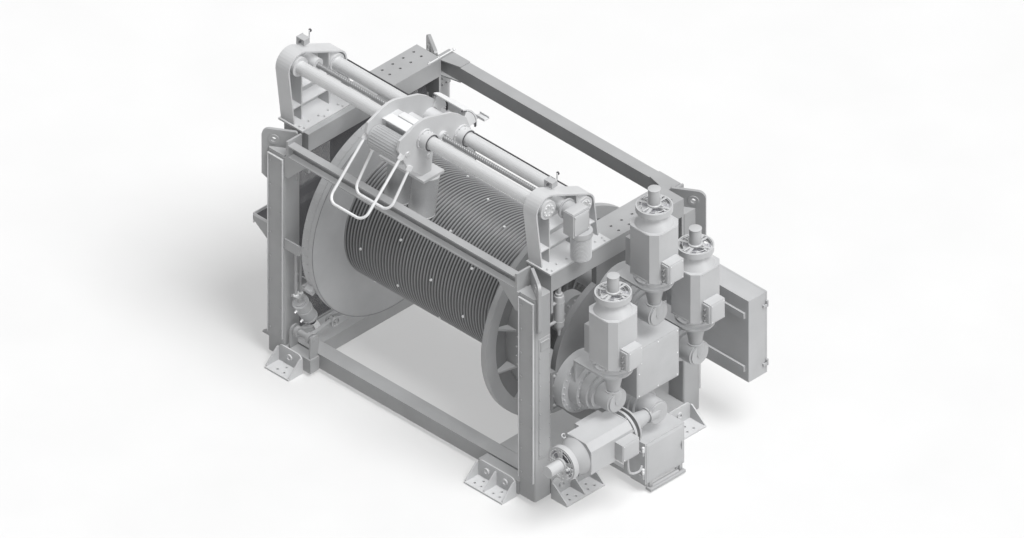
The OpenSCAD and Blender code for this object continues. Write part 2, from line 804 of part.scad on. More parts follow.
// One tooth, pointing along +x: left flank out, tip, right flank back
function tooth(pitch_r, root_r, tip_r, half_angle) =
    let (base = pitch_r * cos(pressure),
        start = max(base, root_r),
        pitch_a = polar(involute(base, roll_at(base, pitch_r)))[1],
        flank = [for (i = [0:3]) let (r = start + (tip_r - start) * i / 3,
            a = polar(involute(base, roll_at(base, r)))[1]) [r, half_angle + pitch_a - a]])
    concat([[root_r, flank[0][1]]], flank);

function gear_points(teeth, pitch_r, root_r, tip_r, half_angle) = [for (t = [0:teeth - 1])
    let (f = tooth(pitch_r, root_r, tip_r, half_angle), a0 = 360 * t / teeth)
    each concat([for (p = f) p[0] * [cos(a0 - p[1]), sin(a0 - p[1])]],
        [for (i = [len(f) - 1:-1:0]) f[i][0] * [cos(a0 + f[i][1]), sin(a0 + f[i][1])]])];

backlash_angle = 0.8 / pinion_pitch_r * 180 / PI;

// The ring's tooth spaces have the form of an external gear with as many teeth
module ring_gear() placed() color(steel)
    side_slab(ring_x, ring_x + ring_face) translate(drum_pos) difference() {
        circle(r = ring_r);
        polygon(gear_points(ring_teeth, ring_pitch_r, ring_pitch_r - 0.75 * gear_module,
            ring_pitch_r + 1.3 * gear_module, 90 / ring_teeth));
    }

// A pinion is turned so that one tooth sits in the ring's nearest space
module pinion(i) placed() color(steel) {
    pitch_angle = 360 / ring_teeth;
    off = unit_angles[i] - round(unit_angles[i] / pitch_angle) * pitch_angle;
    at = unit_pos(i);
    side_slab(pinion_x, pinion_x + pinion_face) translate(at)
        rotate(unit_angles[i] - off * ring_teeth / pinion_teeth)
            polygon(gear_points(pinion_teeth, pinion_pitch_r, pinion_pitch_r - 1.2 * gear_module,
                pinion_pitch_r + 0.95 * gear_module, 90 / pinion_teeth - backlash_angle));
    bar(pinion_x + pinion_face, nose_end_x + nose_bore - 5, pinion_shaft_r, at);
}

module drum_shaft() placed() color(steel)
    bar(idle_plate_x, shaft_end_x, shaft_r, drum_pos);

module shell_bolts() placed() color(steel)
    at_shell_bolts() translate([0, 0, 0.2]) hex_head(shell_bolt_r, 14);

module bearing_housing(x0, x1) {
    difference() {
        union() {
            bar(min(x0, x1), max(x0, x1), bearing_r, drum_pos);
            bar(min(x0, x0 + sign(x1 - x0) * bearing_flange_t), max(x0, x0 + sign(x1 - x0) * bearing_flange_t),
                bearing_flange_r, drum_pos);
        }
        bar(min(x0, x1) - 1, max(x0, x1) + 1, shaft_r + run_fit, drum_pos);
    }
}

module drum_bearings() placed() color(plate_grey) {
    bearing_housing(idle_plate_x + idle_plate_t, idle_plate_x + idle_plate_t + bearing_l);
    bearing_housing(drive_plate_x, drive_plate_x - bearing_l);
}

// Sector of a flat ring in the side view
module ring_sector(r_in, r_out, a0, a1) {
    n = ceil((360 - a1 + a0) / 45);
    difference() {
        circle(r = r_out);
        circle(r = r_in);
        polygon(concat([[0, 0]], [for (i = [0:n])
            2 * r_out * [cos(a1 + (360 - a1 + a0) * i / n), sin(a1 + (360 - a1 + a0) * i / n)]]));
    }
}

// Straight-sided bar of a side view between two points, with a half width at each
module link(p, half_p, q, half_q) {
    n = [p[1] - q[1], q[0] - p[0]] / norm(q - p);
    polygon([p + n * half_p, q + n * half_q, q - n * half_q, p - n * half_p]);
}

module band_cheek(x0) {
    side_slab(x0, x0 + 16) difference() {
        union() {
            translate(drum_pos) rotate(band_from) translate([band_in + band_t - 1, 0]) square([44, 90]);
            translate(lever_tip) circle(r = 52);
            link(drum_pos + (band_in + band_t + 24) * [cos(band_from + 2), sin(band_from + 2)], 18,
                lever_tip, 44);
        }
        translate(drum_pos) circle(r = band_in + band_t / 2);
    }
}

// Band with its lining; its lower end carries two cheeks with a wide hole round the lever's pin
module brake_band() placed() color(dark_grey) {
    side_slab(band_x, band_x + band_w) translate(drum_pos)
        ring_sector(band_in - lining_t, band_in + band_t, band_from, band_to);
    difference() {
        for (x0 = [band_x, band_x + band_w - 16]) band_cheek(x0);
        bar(band_x - 1, band_x + band_w + 1, 38, lever_tip);
    }
    side_slab(band_x, band_x + band_w) translate(drum_pos) rotate(band_to)
        translate([band_in + band_t - 1, -60]) difference() {
            square([56, 60]);
            translate([30, 30]) circle(r = anchor_pin_r);
        }
}

// Pedestal, lugs for the lever's shaft, anchor arm, and the arm with tie rods that holds the actuator
module brake_brackets() placed() color(frame_grey) {
    arm_z = drum_z - 60;
    block_top = lower_z - 10 + block_h;
    for (x = [actuator_x - 56, band_x + band_w + 8])
        side_slab(x, x + 18) difference() {
            polygon(concat([[14, block_top]], arc(pivot, 56, 180, 0, 8),
                [[rail_setback - 2, lower_top + 20], [rail_setback - 2, block_top]]));
            translate(pivot) circle(r = lever_shaft_r + run_fit);
        }
    block([post_in_l, 0, arm_z], [actuator_x + 80, 110, arm_z + 14]);
    block([post_in_l, 0, arm_z + 14], [actuator_x + 80, 12, arm_z + 106]);
    block([post_in_l, 130, anchor_pos[1] - 40], [band_x - 8, 144, anchor_pos[1] + 40]);
    block([band_x - 36, anchor_pos[0] - 26, anchor_pos[1] - 26], [band_x - 8, 130, anchor_pos[1] + 26]);
    bar(band_x - 36, band_x + band_w + 6, anchor_pin_r - seat_fit, anchor_pos);
    for (y = [46, 100])
        translate([actuator_x, y, actuator_top[1] + 42]) cylinder(h = arm_z - actuator_top[1] - 42, r = 14);
    block([actuator_x - 40, 28, actuator_top[1] + 28], [actuator_x + 40, 122, actuator_top[1] + 42]);
    for (x = [actuator_x - 40, actuator_x + 20])
        block([x, 45, actuator_top[1] - 18], [x + 20, 105, actuator_top[1] + 28]);
    bar(actuator_x - 46, actuator_x + 46, anchor_pin_r, actuator_top);
}

// Frame of the actuator: its axis leans towards the drum as it goes down
module actuator_frame() {
    translate([actuator_x, actuator_top[0], actuator_top[1]]) rotate([180 + actuator_lean, 0, 0])
        children();
}

module brake_cylinder() placed() color(plate_grey)
    actuator_frame() difference() {
        union() {
            translate([0, 0, 54]) cylinder(h = actuator_l - 54, r = actuator_r);
            translate([0, 0, 38]) cylinder(h = 16, r = actuator_r - 18);
            block([-18, -20, 0], [18, 20, 38]);
            translate([-18, 0, 0]) rotate([0, 90, 0]) cylinder(h = 36, r = 24);
            translate([0, 0, actuator_l]) cylinder(h = 18, r = actuator_rod_r + 20);
        }
        translate([0, 0, actuator_l - 130]) cylinder(h = 160, r = actuator_rod_r + run_fit);
        translate([-19, 0, 0]) rotate([0, 90, 0]) cylinder(h = 38, r = anchor_pin_r + seat_fit);
    }

module brake_rod() placed() color(steel)
    actuator_frame() {
        translate([0, 0, actuator_l - 90]) cylinder(h = 90 + rod_l, r = actuator_rod_r);
        difference() {
            translate([0, 0, actuator_l + rod_l]) block([-40, -30, -40], [40, 30, 92]);
            translate([-22, -31, actuator_l + rod_l - 16]) cube([44, 62, 120]);
        }
        translate([-46, 0, actuator_l + rod_l + 62]) rotate([0, 90, 0]) cylinder(h = 92, r = 12);
    }

rod_end = actuator_top + (actuator_l + rod_l + 62) * [sin(actuator_lean), -cos(actuator_lean)];

module lever_arm(x0, x1, to, r) {
    side_slab(x0, x1) {
        translate(pivot) circle(r = lever_shaft_r + 22);
        translate(to) circle(r = r);
        link(pivot, lever_shaft_r + 2, to, r - 8);
    }
}

module brake_lever() placed() color(plate_grey) {
    difference() {
        lever_arm(actuator_x - 18, actuator_x + 18, rod_end, 31);
        bar(actuator_x - 60, actuator_x + 60, 20, rod_end);
    }
    bar(actuator_x - 60, band_x + band_w + 30, lever_shaft_r, pivot);
    lever_arm(band_mid_x - 19, band_mid_x + 19, lever_tip, 26);
    bar(band_x - 6, band_x + band_w + 6, 12, lever_tip);
}

// A drive unit: drawn with its gearbox axis along x and its motor axis upwards
module unit_frame(i) {
    translate([0, unit_pos(i)[0], unit_pos(i)[1]]) rotate([unit_turns[i], 0, 0]) children();
}

module gearbox() {
    difference() {
        union() {
            for (k = [0:3]) bar(stage_x[k], stage_x[k + 1], stage_r[k]);
            bar(stage_x[4], motor_x + 44, bevel_r);
            bar(motor_x + 44, motor_x + 61, bevel_r - 17);
            bar(motor_x + 61, motor_x + 69, 35);
            bar(nose_end_x, 0, nose_r);
            translate([motor_x, 0, 0]) {
                cylinder(h = neck_z[0], r = neck_r[0] + 16);
                translate([0, 0, neck_z[0]]) cylinder(h = neck_z[1] - neck_z[0], r1 = neck_r[0], r2 = neck_r[1]);
                translate([0, 0, neck_z[1]]) cylinder(h = motor_flange_w - neck_z[1], r = neck_r[1]);
                translate([0, 0, bracket_z]) cylinder(h = bracket_t, r = bracket_half);
            }
            block([bracket_x, -bracket_half, bracket_z], [motor_x, bracket_half, bracket_z + bracket_t]);
            block([bracket_x, -bracket_half, 100], [bracket_x + 25, bracket_half, bracket_z + 1]);
        }
        bar(nose_end_x - 1, nose_end_x + nose_bore, pinion_shaft_r + run_fit);
    }
}

module drive_gearboxes() placed() color(plate_grey)
    for (i = [0:3]) unit_frame(i) gearbox();

function chamfered(w, c) = [for (k = [0:3]) each
    let (r = w / 2, p = [[r, -r + c], [r, r - c]], a = 90 * k)
    [for (q = p) [q[0] * cos(a) - q[1] * sin(a), q[0] * sin(a) + q[1] * cos(a)]]];

module drive_motor(i) placed() color(white) unit_frame(i) translate([motor_x, 0, 0]) difference() {
    union() {
        translate([0, 0, motor_flange_w]) cylinder(h = motor_flange_t, r = bracket_half + 9);
        translate([0, 0, motor_flange_w + motor_flange_t]) cylinder(h = motor_spacer_l, r = 150);
        translate([0, 0, body_z]) linear_extrude(motor_body_l) polygon(chamfered(motor_w, motor_chamfer));
        translate([0, 0, cone_z]) cylinder(h = motor_cone_l, r1 = motor_w / 2 - 5, r2 = motor_neck_r);
        translate([0, 0, neck_top_z]) cylinder(h = motor_neck_l, r = motor_neck_r);
    }
    translate([0, 0, motor_top - 42]) cylinder(h = 44, r = fan_shaft_r + run_fit);
}

module terminal_boxes() placed() color(white)
    for (i = [0:3]) unit_frame(i) translate([motor_x, 0, 0]) {
        block([motor_w / 2, -terminal_w / 2, body_z + 18], [motor_w / 2 + terminal_d, terminal_w / 2, body_z + 18 + terminal_h]);
        for (k = [0:2]) translate([motor_w / 2 + terminal_d / 2, -terminal_w / 2, body_z + 50 + k * 58])
            rotate([90, 0, 0]) cylinder(h = 14, r = 15);
        block([-motor_w / 2 - 61, -115, body_z + 10], [-motor_w / 2, 115, body_z + 298]);
    }

module fan_guards() placed() color(white)
    for (i = [0:3]) unit_frame(i) translate([motor_x, 0, guard_z]) {
        difference() {
            cylinder(h = guard_h, r = guard_r);
            translate([0, 0, -1]) cylinder(h = guard_h + 2, r = guard_r - guard_wall);
        }
        for (k = [0:3]) rotate(90 * k + 20)
            block([30, -14, guard_h - 12], [guard_r - guard_wall + 4, 14, guard_h]);
        translate([0, 0, guard_h - 12]) cylinder(h = encoder_l + 12, r = encoder_r);
        for (k = [0:2]) rotate(120 * k) difference() {
            block([motor_neck_r - 20, -15, 0], [guard_r - guard_wall + 4, 15, 14]);
            translate([0, 0, -1]) cylinder(h = 16, r = motor_neck_r + seat_fit);
        }
    }

module cooling_fan(i) placed() color(dark_grey) unit_frame(i) translate([motor_x, 0, motor_top]) {
    translate([0, 0, -36]) cylinder(h = 40, r = fan_shaft_r);
    translate([0, 0, 3]) cylinder(h = 20, r = 40);
    for (k = [0:6]) rotate(360 * k / 7) translate([30, 0, 13]) rotate([24, 0, 0])
        block([0, -20, -2], [guard_r - guard_wall - 44, 20, 2]);
}

// Tower outline: arcs round both guide shafts, joined by their common tangent
function tower_outline(inset) =
    let (d = rear_shaft - front_shaft, r1 = tower_front_r - inset, r2 = tower_rear_r - inset,
        a = acos((r1 - r2) / norm(d)) + atan2(d[1], d[0]))
    concat([[tower_foot[0] + inset, girder_top]],
        arc(front_shaft, r1, 184, a, 10), arc(rear_shaft, r2, a, 4, 8),
        [[tower_foot[1] - inset, girder_top]]);

module tower(x0) {
    floor_z = girder_top + tower_base_t;
    difference() {
        union() {
            difference() {
                side_slab(x0, x0 + tower_d) polygon(tower_outline(0));
                side_slab(x0 + tower_wall, x0 + tower_d + 1) polygon(tower_outline(tower_wall));
            }
            intersection() {
                side_slab(x0, x0 + tower_d - 12) polygon(tower_outline(0));
                union() {
                    for (y = [300, 640]) block([x0, y, floor_z], [x0 + tower_d, y + 14, front_shaft[1]]);
                    block([x0, tower_foot[0], floor_z + 150], [x0 + tower_d, tower_foot[1], floor_z + 162]);
                    block([x0, 314, floor_z + 330], [x0 + tower_d, 640, floor_z + 342]);
                }
            }
            bar(x0, x0 + tower_d, guide_r + 30, front_shaft);
            bar(x0, x0 + tower_d, guide_r + 26, rear_shaft);
            bar(x0, x0 + tower_d, screw_r + 36, screw_pos);
            bar(x0, x0 + tower_d - 60, trip_r + 16, trip_pos);
            block([x0, trip_pos[0] - 60, trip_pos[1] - 22], [x0 + tower_wall, trip_pos[0], trip_pos[1] + 22]);
            block([x0 - 15, tower_foot[0] - 20, girder_top], [x0 + 283, tower_foot[1] + 20, floor_z]);
        }
        block([x0 - 20, 0, girder_top - 50], [x0 + 400, frame_w, girder_top]);
        bar(x0 - 1, x0 + tower_d + 1, guide_r + seat_fit, front_shaft);
        bar(x0 - 1, x0 + tower_d + 1, guide_r + seat_fit, rear_shaft);
        bar(x0 + 20, x0 + tower_d + 1, screw_r + run_fit, screw_pos);
        if (x0 > left / 2) bar(x0 - 1, x0 + tower_d + 1, screw_r + run_fit, screw_pos);
        bar(x0 - 1, x0 + tower_d + 1, trip_r + seat_fit, trip_pos);
    }
}

module left_tower() placed() color(frame_grey) tower(tower_x[0]);

module right_tower() placed() color(frame_grey) tower(tower_x[1]);

module guide_shafts() placed() color(steel)
    for (at = [front_shaft, rear_shaft])
        ring(tower_x[0], tower_x[1] + tower_d, guide_r, guide_r - guide_wall, at);

module lead_screw() placed() color(dark_grey)
    bar(tower_x[0] + 26, 60, screw_r, screw_pos);

module trip_rod() placed() color(dark_grey)
    bar(tower_x[0], tower_x[1] + tower_d - 60, trip_r, trip_pos);

// Side plate of the carriage, in the side view
carriage_outline = concat(
    [front_shaft + [-201, -222], front_shaft + [-324, 32], front_shaft + [-298, 119]],
    arc(front_shaft + [-20, -110], 316, 118, 72, 6),
    [rear_shaft + [-122, 292], rear_shaft + [-20, 225], rear_shaft + [70, 143], rear_shaft + [130, -20],
     rear_shaft + [105, -106], rear_shaft + [-105, -126], rear_shaft + [-215, -22],
     front_shaft + [115, -127], [front_shaft[0] + 87, hanger_z + hanger_t], [front_shaft[0] - 26, hanger_z + hanger_t]]);

// Frame of a side roller: z runs up its leaning axis from the roller's lower end
module roller_frame(side) {
    reach = side_roller_l + side_gap;
    x = -carriage_x + side * (side_roller_r + side_roller_gap / 2);
    translate([x, roller_top[0], roller_top[1]]) rotate([-side_roller_lean, 0, 0])
        translate([0, 0, -reach]) children();
}

module carriage_frame() placed() color(frame_grey) {
    difference() {
        union() {
            for (x = plate_x) side_slab(x, x + carriage_t) polygon(carriage_outline);
            for (at = [front_shaft, rear_shaft]) {
                bar(outer_x[0] - bush_out, outer_x[1] + bush_out, bush_r, at);
                for (x = [outer_x[0] - 16, outer_x[1]]) bar(x, x + 16, bush_r + 14, at);
            }
            bar(outer_x[0] - 30, outer_x[1] + 30, nut_r, screw_pos);
            block([inner_x[0], front_shaft[0] - 130, front_shaft[1] + bush_r - 8],
                [inner_x[1], front_shaft[0] + 70, front_shaft[1] + bush_r + 4]);
            difference() {
                block([outer_x[0] - 70, hanger_y[0], hanger_z], [outer_x[1] + 70, hanger_y[1], hanger_z + hanger_t]);
                block([-carriage_x - 75, 365, hanger_z - 1], [-carriage_x + 75, hanger_y[1] + 1, hanger_z + hanger_t + 1]);
            }
            intersection() {
                block([outer_x[0] - 80, 0, 0], [outer_x[1] + 80, frame_w, hanger_z + 1]);
                for (s = [-1, 1]) roller_frame(s) translate([0, 0, side_roller_l + side_gap])
                    cylinder(h = 120, r = 44);
            }
        }
        for (at = [front_shaft, rear_shaft])
            bar(outer_x[0] - bush_out - 1, outer_x[1] + bush_out + 1, guide_r + run_fit, at);
        bar(outer_x[0] - 31, outer_x[1] + 31, screw_r + run_fit, screw_pos);
    }
    for (s = [-1, 1]) roller_frame(s) {
        translate([0, 0, -side_gap - 12]) cylinder(h = side_roller_l + 2 * side_gap + 12 + 3, r = side_axle_r);
        translate([0, 0, -side_gap - 12]) cylinder(h = 12, r = side_axle_r + 16);
    }
    for (at = [upper_roller, lower_roller])
        bar(inner_x[0] - 1, inner_x[1] + 1, roller_axle_r, at);
}

// Curved cover behind the rear shaft, on two ribs that lie against the side plates
module carriage_chute() placed() color(white) {
    side_slab(inner_x[0] + 0.2, inner_x[1] - 0.2) translate(rear_shaft) ring_sector(216, 228, -8, 76);
    for (x = [inner_x[0], inner_x[1] - 10])
        side_slab(x, x + 10) translate(rear_shaft) ring_sector(bush_r + 10, 217, 4, 62);
}

// A loop lies in a sloping plane and ends in two blocks on the side plates
module guide_loop(root, slope, reach) {
    x0 = outer_x[0] - loop_r;
    x1 = outer_x[1] + loop_r;
    bend = 90;
    translate([0, root[0], root[1]]) rotate([180 + slope, 0, 0]) {
        for (x = [x0, x1]) translate([x, 0, 0]) {
            translate([0, loop_block / 2 - 1, 0]) rotate([-90, 0, 0])
                cylinder(h = reach - bend - loop_block / 2 + 1, r = loop_r);
            block([-loop_r, -loop_block / 2, -loop_block / 2], [loop_r, loop_block / 2, loop_block / 2]);
        }
        translate([x0 + bend, reach - bend, 0]) rotate([0, 0, 90]) rotate_extrude(angle = 90)
            translate([bend, 0]) circle(r = loop_r);
        translate([x1 - bend, reach - bend, 0]) rotate_extrude(angle = 90)
            translate([bend, 0]) circle(r = loop_r);
        translate([x0 + bend, reach, 0]) rotate([0, 90, 0]) cylinder(h = x1 - x0 - 2 * bend, r = loop_r);
    }
}

module guide_loops() placed() color(white) {
    guide_loop(upper_loop_root, upper_loop_slope, upper_loop_l);
    guide_loop(lower_loop_root, lower_loop_slope, lower_loop_l);
}

module side_roller(side) placed() color(plate_grey) roller_frame(side) difference() {
    cylinder(h = side_roller_l, r = side_roller_r);
    translate([0, 0, -1]) cylinder(h = side_roller_l + 2, r = side_axle_r + run_fit);
}

module entry_roller(at, r) placed() color(plate_grey)
    ring(inner_x[0] + side_gap, inner_x[1] - side_gap, r, roller_axle_r + run_fit, at);

module screw_gearmotor() placed() color(plate_grey) {
    x0 = tower_x[1] + tower_d;
    motor_at = [70, screw_y];
    difference() {
        union() {
            bar(x0, 0, 76, screw_pos);
            bar(x0, x0 + 16, 96, screw_pos);
            block([0, screw_y - 149, screw_pos[1] - 138], [122, screw_y + 52, screw_pos[1] + 98]);
            translate([motor_at[0], motor_at[1], screw_pos[1] - 191]) cylinder(h = 53, r = 104);
            translate([motor_at[0], motor_at[1], screw_pos[1] - 432]) cylinder(h = 245, r = 92);
            translate([motor_at[0], motor_at[1], screw_pos[1] - 444]) cylinder(h = 12, r = 80);
        }
        bar(x0 - 1, 64, screw_r + seat_fit, screw_pos);
    }
}

module limit_switches() placed() color(plate_grey)
    for (x0 = tower_x) {
        block([x0 - 8, 395, front_shaft[1] - 60], [x0, 475, front_shaft[1] + 190]);
        block([x0, 400, front_shaft[1] + 128], [x0 + 84, 470, front_shaft[1] + 186]);
        translate([x0 + 42, 470, front_shaft[1] + 160]) rotate([-90, 0, 0]) cylinder(h = 34, r = 9);
    }

module slip_ring_box() placed() color(frame_grey)
    difference() {
        union() {
            side_slab(ring_box_x, ring_box_x + ring_box_d) translate(drum_pos)
                polygon(rounded(ring_box_w, ring_box_h, 8));
            bar(0, ring_box_x + 1, 150, drum_pos);
        }
        block([ring_box_x + 10, mid_y - ring_box_w / 2 + 10, drum_z - ring_box_h / 2 + 10],
            [ring_box_x + ring_box_d - 10, mid_y + ring_box_w / 2 - 10, drum_z + ring_box_h / 2 - 10]);
        bar(-1, ring_box_x + 12, shaft_r + 6, drum_pos);
    }

// Fixed half of a door's hinges at the origin: two pins with a knuckle below each
module hinge_fixed(heights, lug) {
    for (z = heights) translate([0, 0, z]) {
        cylinder(h = 60, r = hinge_pin_r);
        cylinder(h = 28, r = hinge_pin_r + 5);
        translate([0, 0, 0]) block([min(0, lug[0]), min(-4, lug[1]), 0], [max(4, lug[0]), max(4, lug[1]), 28]);
    }
}

module hinge_moving(heights, lug) {
    for (z = heights) translate([0, 0, z + 29]) difference() {
        union() {
            cylinder(h = 31, r = hinge_pin_r + 5);
            block([min(-4, lug[0]), min(-4, lug[1]), 0], [max(4, lug[0]), max(4, lug[1]), 31]);
        }
        translate([0, 0, -1]) cylinder(h = 33, r = hinge_pin_r + run_fit);
    }
}

control_hinges = [60, control_h - 120];
power_hinges = [90, power_h - 150];
hinge_off = 14;

// Control cabinet: open towards +x, hinged on its front side, on two rails
module control_cabinet() placed() color(frame_grey) translate(control_pos) {
    w = cabinet_wall;
    difference() {
        cube([control_d, control_w, control_h]);
        block([w, w, w], [control_d + 1, control_w - w, control_h - w]);
    }
    for (y = [40, control_w - 80])
        block([-control_pos[0], y, lower_z + 12 - control_pos[2]], [control_d, y + 40, 0]);
    translate([control_d + door_t / 2, -hinge_off, 0]) hinge_fixed(control_hinges, [0, 0]);
    for (z = control_hinges)
        block([control_d - 40, -hinge_off - 4, z], [control_d + door_t / 2, -hinge_off + 4, z + 28]);
    for (z = control_hinges)
        block([control_d - 40, -hinge_off + 3, z], [control_d - 26, 0, z + 28]);
}

module control_door() placed() color(frame_grey) translate(control_pos) {
    translate([control_d + 1, 0, 0]) cube([door_t - 1, control_w, control_h]);
    translate([control_d + door_t / 2, -hinge_off, 0]) hinge_moving(control_hinges, [0, hinge_off + 1]);
    translate([control_d + door_t, control_w - 40, control_h / 2]) rotate([0, 90, 0]) cylinder(h = 10, r = 16);
    translate([control_d + door_t + 9, control_w - 46, control_h / 2 - 40]) cube([9, 12, 80]);
}

// Power cabinet: open to the rear, hinged at its right end, on two rails along the post
module power_cabinet() placed() color(frame_grey) translate(power_pos) {
    w = cabinet_wall;
    difference() {
        cube([power_w, power_d, power_h]);
        block([w, w, w], [power_w - w, power_d + 1, power_h - w]);
    }
    for (z = [100, power_h - 200])
        block([-post_w - power_pos[0], cover_t - cabinet_rail, z], [power_w - 40, 0, z + 60]);
    for (z = power_hinges) {
        translate([power_w + hinge_off, power_d + door_t / 2, 0]) hinge_fixed([z], [0, 0]);
        block([power_w + hinge_off - 4, power_d - 40, z], [power_w + hinge_off + 4, power_d + door_t / 2, z + 28]);
        block([power_w, power_d - 40, z], [power_w + hinge_off - 3, power_d - 26, z + 28]);
    }
}

module power_door() placed() color(frame_grey) translate(power_pos) {
    translate([0, power_d + 1, 0]) cube([power_w, door_t - 1, power_h]);
    translate([power_w + hinge_off, power_d + door_t / 2, 0])
        hinge_moving(power_hinges, [-hinge_off - 1, 0]);
    for (z = [power_h / 4, power_h * 3 / 4])
        translate([60, power_d + door_t, z]) rotate([-90, 0, 0]) cylinder(h = 12, r = 16);
}

corner_posts();
post_covers();
lower_end_beams();
bottom_rails();
corner_blocks();
upper_end_girders();
front_top_beam();
rear_top_beam();
lifting_lugs();
deck_feet();
frame_bolts();
drive_end_plate();
idle_end_plate();
side_shelf();
drum_barrel();
brake_flange();
drive_flange();
ring_gear();
drum_shaft();
shell_bolts();
drum_bearings();
brake_band();
brake_brackets();
brake_cylinder();
brake_rod();
brake_lever();
drive_gearboxes();
drive_motor(0);  // drive_motor_1
drive_motor(1);  // drive_motor_2
drive_motor(2);  // drive_motor_3
drive_motor(3);  // drive_motor_4
terminal_boxes();
fan_guards();
pinion(0);  // pinion_1
pinion(1);  // pinion_2
pinion(2);  // pinion_3
pinion(3);  // pinion_4
cooling_fan(0);  // cooling_fan_1
cooling_fan(1);  // cooling_fan_2
cooling_fan(2);  // cooling_fan_3
cooling_fan(3);  // cooling_fan_4
left_tower();
right_tower();
guide_shafts();
lead_screw();
trip_rod();
carriage_frame();
carriage_chute();
guide_loops();
side_roller(-1);  // side_roller_left
side_roller(1);  // side_roller_right
entry_roller(upper_roller, upper_roller_r);  // entry_roller_upper
entry_roller(lower_roller, lower_roller_r);  // entry_roller_lower
screw_gearmotor();
limit_switches();
slip_ring_box();
control_cabinet();
control_door();
power_cabinet();
power_door();
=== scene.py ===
"""Electric umbilical winch on its lifting frame: materials, fasteners and fittings."""
import json
import math

import bpy
from mathutils import Matrix, Vector


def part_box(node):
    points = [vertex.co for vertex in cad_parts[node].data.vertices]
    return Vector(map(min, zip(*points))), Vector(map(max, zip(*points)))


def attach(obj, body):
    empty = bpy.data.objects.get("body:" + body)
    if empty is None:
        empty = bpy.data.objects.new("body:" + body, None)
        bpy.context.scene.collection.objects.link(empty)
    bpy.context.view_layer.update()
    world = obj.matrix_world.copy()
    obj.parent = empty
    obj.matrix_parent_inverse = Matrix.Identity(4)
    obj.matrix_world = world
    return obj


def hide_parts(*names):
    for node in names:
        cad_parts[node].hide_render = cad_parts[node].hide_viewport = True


bl_info = {
    "name": "Umbilical Winch Dressing",
    "version": (1, 0, 0),
    "blender": (4, 5, 0),
    "location": "3D View > Sidebar > Winch",
    "description": "Dresses the packed winch with paint, fasteners and fittings",
    "category": "Object",
}

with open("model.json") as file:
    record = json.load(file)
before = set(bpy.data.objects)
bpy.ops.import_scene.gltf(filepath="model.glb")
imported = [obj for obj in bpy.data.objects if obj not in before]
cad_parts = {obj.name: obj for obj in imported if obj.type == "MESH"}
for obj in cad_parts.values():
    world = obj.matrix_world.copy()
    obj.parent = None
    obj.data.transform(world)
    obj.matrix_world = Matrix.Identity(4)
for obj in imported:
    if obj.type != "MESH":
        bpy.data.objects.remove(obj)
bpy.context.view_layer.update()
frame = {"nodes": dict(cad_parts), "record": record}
nodes = frame["nodes"]

# The posts give the datum: X from their right faces, Y from their front faces, Z from the deck
posts_low, posts_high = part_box("corner_posts")
DATUM = Vector((posts_high.x, posts_low.y, 0.0))
FRAME_L = (posts_high.x - posts_low.x) * 1000
FRAME_W = (posts_high.y - posts_low.y) * 1000
MID_Y = FRAME_W / 2
DRUM_Z = 1285.0
POST_W = 200.0
GIRDER_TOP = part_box("upper_end_girders")[1].z * 1000
FRONT_SHAFT = (280.0, GIRDER_TOP + 595.0)
REAR_SHAFT = (735.0, GIRDER_TOP + 414.0)
SCREW = (499.0, GIRDER_TOP + 511.0)
# Left faces and outer shaft ends of the two towers, and the thickness of their base plates
TOWER_X = (-3342.0, -276.0)
SHAFT_ENDS = (-3342.0, -116.0)
TOWER_BASE_T = 18.0
# Centre and half width of the carriage, and its entry rollers as (node, Y, Z, radius)
CARRIAGE_X = -1860.0
CARRIAGE_HALF = 209.0
ENTRY_ROLLERS = (("entry_roller_upper", 70, FRONT_SHAFT[1] - 62, 115),
                 ("entry_roller_lower", 330, FRONT_SHAFT[1] - 207, 60))
# Inner faces of the flanges, and the faces of their hubs and of the drum's bearings
FLANGE_FACES = (-2767.0, -669.0)
HUB_FACES = (-2909.0, -534.0)
BEARING_FACES = (-3149.0, -90.0)
# The brake actuator's axis and the pin it hangs from
ACTUATOR_X = -3005.0
ACTUATOR_TOP = (75.0, 700.0)
ACTUATOR_LEAN = math.radians(28)
# A drive unit from its own centre: the motor's axis and half width, the width and depth of its
# terminal box, and the heights of its body, fan guard and encoder
MOTOR_X = 455.0
MOTOR_HALF = 180.0
TERMINAL_W = 175.0
TERMINAL_D = 96.0
MOTOR_BODY = (448.0, 958.0)
FAN_TOP = 1147.0
ENCODER = (1150.0, 1316.0)
# Distance of the units from the drum's axis, and their angles round it; the fourth lies flat
GEAR_DISTANCE = 530.0
UNIT_ANGLES = (196.3, 90.0, -16.3, -90.0)
FLAT_UNIT = 3
# Radius of the bolt that the drive units' bolts are scaled from
BOLT = 10


def at(x, y, z):
    """A point given in millimetres from the datum, in metres in the row frame."""
    return DATUM + Vector((x, y, z)) / 1000


def colour(name, text, value):
    return bpy.props.FloatVectorProperty(
        name=name, description=text, subtype="COLOR", size=3, min=0.0, max=1.0, default=value)


def length(name, text, value):
    """A length in metres, given in millimetres."""
    return bpy.props.FloatProperty(
        name=name, description=text, subtype="DISTANCE", unit="LENGTH", default=value / 1000)


